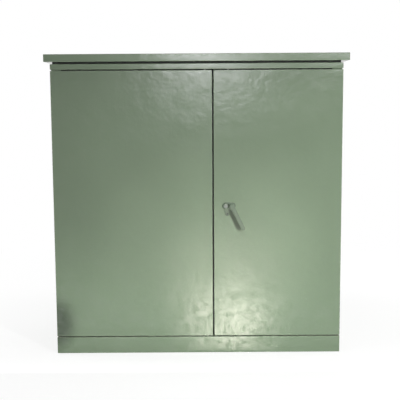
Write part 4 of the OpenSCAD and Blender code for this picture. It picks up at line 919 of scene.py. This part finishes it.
class TRANSFORMER_OT_tank(bpy.types.Operator):
    """Welded tank, cover, skids, lifting lugs and their weld runs"""
    bl_idname = "transformer.tank"
    bl_label = "Tank"

    def execute(self, context):
        s, t = context.scene.sheet, context.scene.tank
        paint = sprayed_enamel()
        dress(paint, s.bar, "tank", "tank_cover", "base_skids", "lifting_lugs")
        dress(seal_rubber(), s.edge, "cover_gasket")
        lugs = islands("lifting_lugs")
        wall = min(min(abs(low.x), abs(high.x)) for low, high in lugs)
        front = tank_front() + t.plate
        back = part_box("radiator_right")[0][1]
        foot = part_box("base_skids")[1][2]
        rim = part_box("cover_gasket")[0][2] - t.rim
        floor, under = foot + t.floor, rim - t.under
        bm = bmesh.new()
        for x in (-wall, wall):
            bead(bm, (x, back, foot + t.end), (x, back, rim - t.end), t.seam_r)
            bead(bm, (x, front - t.floor, floor), (x, back - t.end, floor), t.seam_r)
            bead(bm, (x, front, under), (x, back - t.end, under), t.rim_r)
        for z, radius in ((under, t.rim_r), (floor, t.seam_r)):
            bead(bm, (t.inset - wall, back, z), (wall - t.inset, back, z), radius)
        for low, high in lugs:
            x = math.copysign(wall, low.x)
            for y in (low.y, high.y):
                bead(bm, (x, y, low.z + t.end), (x, y, high.z - t.end), t.lug_r)
        piece("tank_welds", bm, paint, "transformer")
        return {"FINISHED"}


# Half section of the washer under each nut
WASHER = ((0.0102, 0.0), (0.0135, 0.0), (0.0138, 0.0008), (0.0132, 0.0022), (0.0102, 0.0022),
          (0.0102, 0.0))
# Nodes with a bolted flange: radius of its ring of bolts, height of their seat, and a bolt head's radius
FLANGES = (("hv_bushings", 0.0470, 0.0110, 0.0050), ("lv_bushings", 0.0415, 0.0125, 0.0045),
           ("fuse_housings", 0.0375, 0.0088, 0.0045), ("control_bosses", 0.0325, 0.0078, 0.0050))
BOLT_HEAD_H = 0.0045
BOLT_WASHER_T = 0.0018


def hex_head(radius):
    """A six-sided bolt head with a rounded crown, sunk a little into a thin washer"""
    top, rim = BOLT_WASHER_T, BOLT_WASHER_T * 2 / 3
    wide, narrow = radius * 1.25, radius * 1.15
    bm = turned(((0.0, 0.0), (wide, 0.0), (wide, rim), (narrow, top), (0.0, top)), 20)
    place = Matrix.Translation((0, 0, BOLT_HEAD_H / 2 + rim))
    head = bmesh.ops.create_cone(bm, cap_ends=True, segments=6, radius1=radius, radius2=radius,
                                 depth=BOLT_HEAD_H, matrix=place)["verts"]
    crown = [e for e in bm.edges if all(v in head and v.co.z > BOLT_HEAD_H for v in e.verts)]
    bevelled(bm, crown, radius * 0.13)
    return bm


class TRANSFORMER_OT_fasteners(bpy.types.Operator):
    """Studs and nuts with their washers, and the bolts of the bushing and boss flanges"""
    bl_idname = "transformer.fasteners"
    bl_label = "Fasteners"

    def execute(self, context):
        zinc = zinc_plate()
        dress(zinc, context.scene.sheet.edge, "cover_bolts", "cabinet_bolts", "ground_pads",
              "parking_stands", "control_bosses")
        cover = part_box("tank_cover")[1][2]
        front = tank_front()
        panel = front - context.scene.tank.flange
        bm = bmesh.new()
        stamp(bm, turned(WASHER, 24),
              *(Matrix.Translation(((low.x + high.x) / 2, (low.y + high.y) / 2, cover))
                for low, high in islands("cover_bolts")))
        stamp(bm, turned(WASHER, 24),
              *(outwards((low.x + high.x) / 2, panel, (low.z + high.z) / 2)
                for low, high in islands("cabinet_bolts")))
        piece("stud_washers", bm, zinc, "transformer")

        bm = bmesh.new()
        turns = [math.radians(45 + 90 * k) for k in range(4)]
        for node, ring, height, radius in FLANGES:
            stamp(bm, hex_head(radius),
                  *(outwards((low.x + high.x) / 2 + ring * math.cos(a), front - height,
                             (low.z + high.z) / 2 + ring * math.sin(a))
                    for low, high in islands(node) for a in turns))
        piece("flange_bolts", bm, zinc, "transformer")
        return {"FINISHED"}


def radiator_plate(r, low, high):
    """One pressed plate: oil channels between seams, that run out at the ends and join round the pipes"""
    width, tall = high[0] - low[0], high[2] - low[2]
    pipes = (low[2] + r.pipe_end, high[2] - r.pipe_end)
    middle = low[1] + r.stub
    bm = bmesh.new()
    bmesh.ops.create_grid(bm, x_segments=r.flutes * r.columns, y_segments=r.rows, size=0.5)
    for v in bm.verts:
        u, w = v.co.x + 0.5, v.co.y + 0.5
        z = low[2] + w * tall
        rise = min(1.0, min(w, 1.0 - w) * tall / r.shoulder)
        rise = rise * rise * (3 - 2 * rise)
        edge = min(1.0, min(u, 1.0 - u) * width / r.margin)
        flute = max(0.0, 0.5 - 0.62 * math.cos(math.tau * u * r.flutes)) ** 0.7
        header = max(0.0, 1.0 - min(abs(z - p) for p in pipes) / r.header) ** 0.5
        swell = min(1.0, max(flute, header * edge)) * rise
        half = r.seam / 2 + (r.swell - r.seam) / 2 * swell
        v.co = Vector((low[0] + u * width, middle - half, z))
    skin = bmesh.ops.duplicate(bm, geom=bm.verts[:] + bm.edges[:] + bm.faces[:])["geom"]
    for v in skin:
        if isinstance(v, bmesh.types.BMVert):
            v.co.y = 2 * middle - v.co.y
    bmesh.ops.bridge_loops(bm, edges=[e for e in bm.edges if e.is_boundary])
    bmesh.ops.recalc_face_normals(bm, faces=bm.faces)
    return bm


# Outline of a pipe as (distance outside its radius, distance along it): its collar from the tank on, its
# bulge at a plate from the plate's middle on, and its end cap as (radius, distance before the end)
PIPE_COLLAR = ((0.012, 0.0), (0.012, 0.004), (0.004, 0.010), (0.0, 0.013))
PIPE_BULGE = ((0.0, -0.011), (0.006, -0.0075), (0.006, 0.0075), (0.0, 0.011))
PIPE_CAP = ((0.016, 0.0006), (0.015, 0.0), (0.0, 0.0))
PIPE_ROUND = ((0.0, 0.005), (0.004, 0.001))


def radiator_pipe(r, depth):
    """Half section of an oil pipe that runs through all plates"""
    section = [(r.pipe + out, along) for out, along in PIPE_COLLAR]
    for k in range(r.plates):
        section += [(r.pipe + out, r.stub + k * r.pitch + along) for out, along in PIPE_BULGE]
    section = [p for p in section if p[1] < depth - 0.006]
    section += [(r.pipe - inside, depth - before) for inside, before in PIPE_ROUND]
    return section + [(radius, depth - before) for radius, before in PIPE_CAP]


class TRANSFORMER_OT_radiators(bpy.types.Operator):
    """Pressed radiator plates with swelling flutes, on pipes with welded collars"""
    bl_idname = "transformer.radiators"
    bl_label = "Radiators"

    def execute(self, context):
        r = context.scene.radiator
        paint = sprayed_enamel()
        for node in ("radiator_left", "radiator_right"):
            low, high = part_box(node)
            bm = bmesh.new()
            stamp(bm, radiator_plate(r, low, high),
                  *(Matrix.Translation((0, k * r.pitch, 0)) for k in range(r.plates)))
            piece(node + "_plates", bm, paint, "transformer", (node,))

            bm = bmesh.new()
            stamp(bm, turned(radiator_pipe(r, high[1] - low[1]), 40),
                  *(backwards((low[0] + high[0]) / 2, low[1], z)
                    for z in (low[2] + r.pipe_end, high[2] - r.pipe_end)))
            piece(node + "_pipes", bm, paint, "transformer")
        return {"FINISHED"}


class TRANSFORMER_OT_core(bpy.types.Operator):
    """Core, clamps and windings inside the tank"""
    bl_idname = "transformer.core"
    bl_label = "Core and windings"

    def execute(self, context):
        s = context.scene.sheet
        dress(lamination_steel(), s.edge, "core")
        dress(primed_steel(), s.bar, "core_clamps")
        dress(bare_copper(), s.cast, "lv_windings")
        dress(paper_winding(), s.cast, "hv_windings")
        return {"FINISHED"}


class TRANSFORMER_OT_primary(bpy.types.Operator):
    """Primary bushings, fuses, switch and tap changer"""
    bl_idname = "transformer.primary"
    bl_label = "Primary side"

    def execute(self, context):
        s = context.scene.sheet
        dress(brown_epoxy(), s.bar, "hv_bushings")
        dress(black_tube(), s.bar, "fuse_housings")
        dress(yellow_grip(), s.cast, "fuse_holder_1", "fuse_holder_2", "fuse_holder_3")
        dress(red_enamel(), s.cast, "switch_handle")
        dress(zinc_plate(), s.cast, "tap_handle")
        return {"FINISHED"}


class TRANSFORMER_OT_secondary(bpy.types.Operator):
    """Secondary bushings, terminal blades, neutral strap, drain valve and relief valve"""
    bl_idname = "transformer.secondary"
    bl_label = "Secondary side"

    def execute(self, context):
        s = context.scene.sheet
        dress(brown_glaze(), s.bar, "lv_bushings")
        dress(tinned_bar(), s.bar, "lv_spades")
        dress(bare_copper(), s.edge, "neutral_strap")
        dress(cast_brass(), s.cast, "drain_valve", "relief_valve")
        dress(red_enamel(), s.bar, "valve_handwheel")
        dress(zinc_plate(), s.edge, "relief_ring")
        return {"FINISHED"}


# Half sections of a gauge's rolled bezel, its dial and the ring printed on it, from the front of the case
BEZEL = ((0.0426, -0.0016), (0.0426, 0.0006), (0.0436, 0.0016), (0.0464, 0.0016), (0.0478, 0.0004),
         (0.0482, -0.0030), (0.0482, -0.0080), (0.0426, -0.0080), (0.0426, -0.0016))
DIAL = ((0.0034, -0.0078), (0.0034, -0.0076), (0.0424, -0.0076), (0.0424, -0.0078), (0.0034, -0.0078))
DIAL_RING = ((0.0412, -0.0076), (0.0412, -0.0074), (0.0418, -0.0074), (0.0418, -0.0076),
             (0.0412, -0.0076))
# Marks of the thermometer and of the oil level: half their sweep in degrees, their number, and the step
# from one long mark to the next
DIAL_MARKS = ((140, 29, 7), (60, 13, 6))
# Width, length and distance from the dial's middle of a short and a long mark, their depth and thickness
SHORT_MARK = (0.0008, 0.0044, 0.0388)
LONG_MARK = (0.0014, 0.0076, 0.0372)
MARK_DEPTH = 0.0075
MARK_T = 0.0003


def dial_marks(bm, here, sweep, count, every):
    """Adds the marks of one dial"""
    for k in range(count):
        width, tall, radius = SHORT_MARK if k % every else LONG_MARK
        turn = Matrix.Rotation(math.radians(sweep - 2 * sweep * k / (count - 1)), 4, "Z")
        place = here @ turn @ Matrix.Translation((0, radius, -MARK_DEPTH))
        bmesh.ops.create_cube(bm, size=1.0, matrix=place @ Matrix.Diagonal((width, tall, MARK_T, 1.0)))


class TRANSFORMER_OT_gauges(bpy.types.Operator):
    """Dial gauges: cases, rolled bezels, printed dials, glasses and pointers"""
    bl_idname = "transformer.gauges"
    bl_label = "Gauges"

    def execute(self, context):
        case = black_case()
        dress(case, context.scene.sheet.bar, "gauge_cases")
        dress(clear_glass(), 0.0, "gauge_glasses")
        dress(red_enamel(), 0.0, "thermometer_pointer", "level_pointer")
        bezels, cards, marks = bmesh.new(), bmesh.new(), bmesh.new()
        for (low, high), scale in zip(islands("gauge_cases"), DIAL_MARKS):
            here = outwards((low.x + high.x) / 2, low.y, (low.z + high.z) / 2)
            stamp(bezels, turned(BEZEL, 64), here)
            stamp(cards, turned(DIAL, 48), here)
            dial_marks(marks, here, *scale)
            stamp(marks, turned(DIAL_RING, 48), here)
        piece("gauge_bezels", bezels, case, "transformer")
        piece("gauge_dials", cards, dial_card(), "transformer")
        piece("gauge_marks", marks, dial_ink(), "transformer")
        return {"FINISHED"}


def aim_camera(scene, s):
    """Stands the camera where the photograph was taken from"""
    data = bpy.data.cameras.new("view_of_the_doors")
    data.sensor_width = s.sensor
    data.lens = s.lens
    camera = bpy.data.objects.new("view_of_the_doors", data)
    look = Matrix.Rotation(math.radians(90) - s.pitch, 4, "X") @ Matrix.Rotation(-s.roll, 4, "Z")
    camera.matrix_world = Matrix.Translation(s.eye) @ look
    scene.collection.objects.link(camera)
    scene.camera = camera


def lamp(name, watts, size, at, aim, tint="#FFFFFF", hidden="glossy", spread=180.0, shape="RECTANGLE"):
    """Hangs a soft lamp at a place, turned to what it lights; rays of the hidden kind don't see it"""
    data = bpy.data.lights.new(name, "AREA")
    data.shape = shape
    data.spread = math.radians(spread)
    data.size, data.size_y = size
    data.energy = watts
    data.color = linear(tint)[:3]
    obj = bpy.data.objects.new(name, data)
    turn = (Vector(aim) - Vector(at)).to_track_quat("-Z", "Y")
    obj.matrix_world = Matrix.Translation(at) @ turn.to_matrix().to_4x4()
    obj.visible_camera = False
    obj.visible_glossy = hidden != "glossy"
    obj.visible_diffuse = hidden != "diffuse"
    bpy.context.scene.collection.objects.link(obj)


def hang_lamps(s):
    """A key lamp at the right, panels behind the camera that gloss mirrors, and fill panels all round"""
    bulb, wall = (s.key_w, s.key_w), (2.2, 2.2)
    doors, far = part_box("lv_door")[0][1], -9.2
    mirrored = {"aim": (0.1, doors, 1.0), "tint": "#FBF8FF", "hidden": "diffuse"}
    lamp("key_lamp", s.key, bulb, s.key_at, aim=(0.62, doors, 0.60), spread=s.key_spread)
    lamp("round_panel", s.glow, (1.7, 1.3), (0.25, far, 2.15), shape="ELLIPSE", **mirrored)
    lamp("cap_panel", s.glint, (0.7, 0.3), (-0.18, far, 2.48), **mirrored)
    lamp("end_panel", s.glint_end, (0.6, 0.3), (2.15, far, 2.5), **mirrored)
    lamp("spot_lamp", s.spot, bulb, s.key_at, aim=(0.13, doors, 0.60), tint="#FFF3FA",
         spread=s.spot_spread)
    lamp("overhead_strip", s.over, (2.0, 0.4), (0.0, -1.15, 3.6), aim=(0.0, -1.15, 0.0), hidden="")
    lamp("ground_panel", s.bounce, (2.2, 0.24), (-0.30, -1.10, 0.08), aim=(-0.30, -0.50, 0.62))
    lamp("left_panel", s.fill, wall, (-5.2, 0.9, 2.2), aim=(-0.8, 0.2, 0.9))
    lamp("right_panel", s.fill, wall, (5.2, 0.9, 2.0), aim=(0.8, 0.2, 0.9))
    lamp("back_panel", s.fill, wall, (1.2, 5.6, 2.4), aim=(0.0, 0.5, 0.9))
    lamp("top_panel", s.fill_top, (3.2, 3.2), (-0.6, 0.6, 4.4), aim=(0.0, 0.0, 0.0))


# Brightness of the floor screen at shares of its length from the doors
SCREEN_FADE = ((0.008, 0.50), (0.045, 0.88), (0.09, 1.0), (0.16, 0.58), (0.28, 0.28), (0.46, 0.085),
               (0.75, 0.012), (1.0, 0.0))


def screen_glow(c, eye):
    """Patchy glow that fades away from the doors and to both sides, and lets all else through"""
    finish = bpy.data.materials.new("low_screen")
    tree = empty_tree(finish)
    place = put(tree, "ShaderNodeTexCoord").outputs["Object"]
    spot = put(tree, "ShaderNodeSeparateXYZ", {0: place})
    near = c.edge[1]
    away = put(tree, "ShaderNodeMapRange", {0: spot.outputs[1], 1: near, 2: near - c.run, 3: 0.0, 4: 1.0})
    along = put(tree, "ShaderNodeValToRGB", {0: away.outputs[0]}, stops=SCREEN_FADE)

    # Mirrored in the doors, the glow keeps its width, so on the floor it widens with the distance
    widen = put(tree, "ShaderNodeMapRange", {0: spot.outputs[1], 1: near, 2: eye[1], 3: 1.0, 4: 2.0},
                clamp=False)
    aside = put(tree, "ShaderNodeMath", {0: spot.outputs[0], 1: eye[0]}, operation="SUBTRACT")
    across = put(tree, "ShaderNodeMath", {0: aside.outputs[0], 1: widen.outputs[0]}, operation="DIVIDE")
    off = put(tree, "ShaderNodeMath", {0: across.outputs[0], 1: c.aside}, operation="SUBTRACT")
    wide = put(tree, "ShaderNodeMath", {0: off.outputs[0]}, operation="ABSOLUTE")
    reach = put(tree, "ShaderNodeMapRange", {0: away.outputs[0], 1: 0.0, 2: 0.6, 3: c.narrow, 4: c.wide})
    fade = put(tree, "ShaderNodeMapRange", {0: wide.outputs[0], 1: reach.outputs[0], 2: 0.0, 3: 0.0, 4: 1.0},
               interpolation_type="SMOOTHSTEP")
    both = put(tree, "ShaderNodeMath", {0: along.outputs[0], 1: fade.outputs[0]}, operation="MULTIPLY")

    drawn = put(tree, "ShaderNodeMapping", {"Vector": place, "Scale": (1 / c.patch, 1 / c.patch_run, 1.0)})
    uneven = put(tree, "ShaderNodeTexNoise", {"Vector": drawn.outputs[0], "Scale": 1.0, "Detail": 4.0,
                                              "Roughness": 0.6})
    patchy = put(tree, "ShaderNodeMapRange", {0: uneven.outputs[0], 1: 0.34, 2: 0.66, 3: c.glow * c.dark,
                                              4: c.glow * c.bright})
    glare = put(tree, "ShaderNodeMath", {0: both.outputs[0], 1: patchy.outputs[0]}, operation="MULTIPLY")
    light = put(tree, "ShaderNodeEmission", {"Color": c.tint, "Strength": glare.outputs[0]})
    clear = put(tree, "ShaderNodeBsdfTransparent")
    added = put(tree, "ShaderNodeAddShader", {0: light.outputs[0], 1: clear.outputs[0]})
    put(tree, "ShaderNodeOutputMaterial", {"Surface": added.outputs[0]})
    return finish


def lay_screen(c, eye):
    """Lays the glowing screen on the floor before the doors"""
    bm = bmesh.new()
    x, y, z = c.edge
    bmesh.ops.create_grid(bm, x_segments=1, y_segments=1, size=0.5,
                          matrix=Matrix.Translation((x, y - c.run / 2, z))
                          @ Matrix.Diagonal((c.width, c.run, 1.0, 1.0)))
    screen = mesh_object("low_screen", bm, screen_glow(c, eye))
    for ray in ("camera", "diffuse", "transmission", "volume_scatter", "shadow"):
        setattr(screen, "visible_" + ray, False)


def seen(tree):
    """1 for rays from the camera and for those that gloss and glass send on"""
    path = put(tree, "ShaderNodeLightPath")
    both = put(tree, "ShaderNodeMath", {0: path.outputs["Is Camera Ray"], 1: path.outputs["Is Glossy Ray"]},
               operation="MAXIMUM")
    return put(tree, "ShaderNodeMath", {0: both.outputs[0], 1: path.outputs["Is Transmission Ray"]},
               operation="MAXIMUM").outputs[0]


def light_room(scene, strength):
    """Even light from all round, which the camera and mirrors see as white"""
    room = bpy.data.worlds.new("even_room")
    tree = empty_tree(room)
    light = put(tree, "ShaderNodeBackground", {"Color": linear("#FFFFFF"), "Strength": strength})
    white = put(tree, "ShaderNodeBackground", {"Color": linear("#FFFFFF"), "Strength": 1.0})
    mixed = put(tree, "ShaderNodeMixShader", {0: seen(tree), 1: light.outputs[0], 2: white.outputs[0]})
    put(tree, "ShaderNodeOutputWorld", {"Surface": mixed.outputs[0]})
    scene.world = room


def floor_paint(f):
    """Pale grey for the light that it throws back; to the eye it takes a soft shadow and turns white"""
    finish = bpy.data.materials.new("pale_floor")
    tree = empty_tree(finish)
    place = put(tree, "ShaderNodeTexCoord").outputs["Object"]
    plain = put(tree, "ShaderNodeBsdfDiffuse", {"Color": f.bounce})
    base = put(tree, "ShaderNodeBsdfDiffuse", {"Color": f.shade})
    lift = put(tree, "ShaderNodeEmission", {"Color": linear("#FFFFFF"), "Strength": f.lift})
    near = put(tree, "ShaderNodeAddShader", {0: base.outputs[0], 1: lift.outputs[0]})
    white = put(tree, "ShaderNodeEmission", {"Color": linear("#FFFFFF"), "Strength": 1.0})
    reach = put(tree, "ShaderNodeVectorMath", {0: place}, operation="LENGTH")
    far = put(tree, "ShaderNodeMapRange", {0: reach.outputs["Value"], 1: f.near, 2: f.far, 3: 0.0, 4: 1.0},
              interpolation_type="SMOOTHSTEP")
    bright = put(tree, "ShaderNodeMixShader", {0: far.outputs[0], 1: near.outputs[0], 2: white.outputs[0]})
    mixed = put(tree, "ShaderNodeMixShader", {0: seen(tree), 1: plain.outputs[0], 2: bright.outputs[0]})
    put(tree, "ShaderNodeOutputMaterial", {"Surface": mixed.outputs[0]})
    return finish


def lay_floor(f):
    """Lays a wide round floor just below the object"""
    bm = bmesh.new()
    bmesh.ops.create_circle(bm, cap_ends=True, segments=96, radius=f.radius,
                            matrix=Matrix.Translation((0, 0, -f.drop)))
    floor = mesh_object("pale_floor", bm, floor_paint(f))


class TRANSFORMER_OT_stage(bpy.types.Operator):
    """Camera, soft lamps, a mirrored screen, even room light and a plain pale floor"""
    bl_idname = "transformer.stage"
    bl_label = "Stage"

    def execute(self, context):
        scene = context.scene
        scene.view_settings.view_transform = "Standard"
        aim_camera(scene, scene.stage)
        hang_lamps(scene.stage)
        lay_screen(scene.screen, scene.stage.eye)
        light_room(scene, scene.stage.sky)
        lay_floor(scene.floor)
        return {"FINISHED"}


OPERATORS = (
    TRANSFORMER_OT_stage, TRANSFORMER_OT_cabinet, TRANSFORMER_OT_doors, TRANSFORMER_OT_hinges,
    TRANSFORMER_OT_handle, TRANSFORMER_OT_latch, TRANSFORMER_OT_tank, TRANSFORMER_OT_radiators,
    TRANSFORMER_OT_core, TRANSFORMER_OT_primary, TRANSFORMER_OT_secondary, TRANSFORMER_OT_gauges,
    TRANSFORMER_OT_fasteners,
)
SETTINGS = (
    ("enamel", EnamelSettings), ("metal", MetalSettings), ("sheet", SheetSettings), ("door", DoorSettings),
    ("handle", HandleSettings), ("tank", TankSettings), ("radiator", RadiatorSettings),
    ("stage", StageSettings), ("screen", ScreenSettings), ("floor", FloorSettings),
)


class TRANSFORMER_PT_pieces(bpy.types.Panel):
    """Lists the pieces of the transformer and the sizes and colours to change"""
    bl_idname = "TRANSFORMER_PT_pieces"
    bl_label = "Transformer"
    bl_space_type = "VIEW_3D"
    bl_region_type = "UI"
    bl_category = "Transformer"

    def draw(self, context):
        for operator in OPERATORS:
            self.layout.operator(operator.bl_idname)
        for name, group in SETTINGS:
            panel = self.layout.box()
            panel.label(text=group.__doc__)
            for key in group.__annotations__:
                panel.prop(getattr(context.scene, name), key)


def register():
    for name, group in SETTINGS:
        bpy.utils.register_class(group)
        setattr(bpy.types.Scene, name, PointerProperty(type=group))
    for cls in OPERATORS + (TRANSFORMER_PT_pieces,):
        bpy.utils.register_class(cls)


def unregister():
    for cls in (TRANSFORMER_PT_pieces,) + OPERATORS[::-1]:
        bpy.utils.unregister_class(cls)
    for name, group in SETTINGS[::-1]:
        delattr(bpy.types.Scene, name)
        bpy.utils.unregister_class(group)


def main():
    register()
    for operator in OPERATORS:
        group, name = operator.bl_idname.split(".")
        getattr(getattr(bpy.ops, group), name)()


if __name__ == "__main__":
    main()
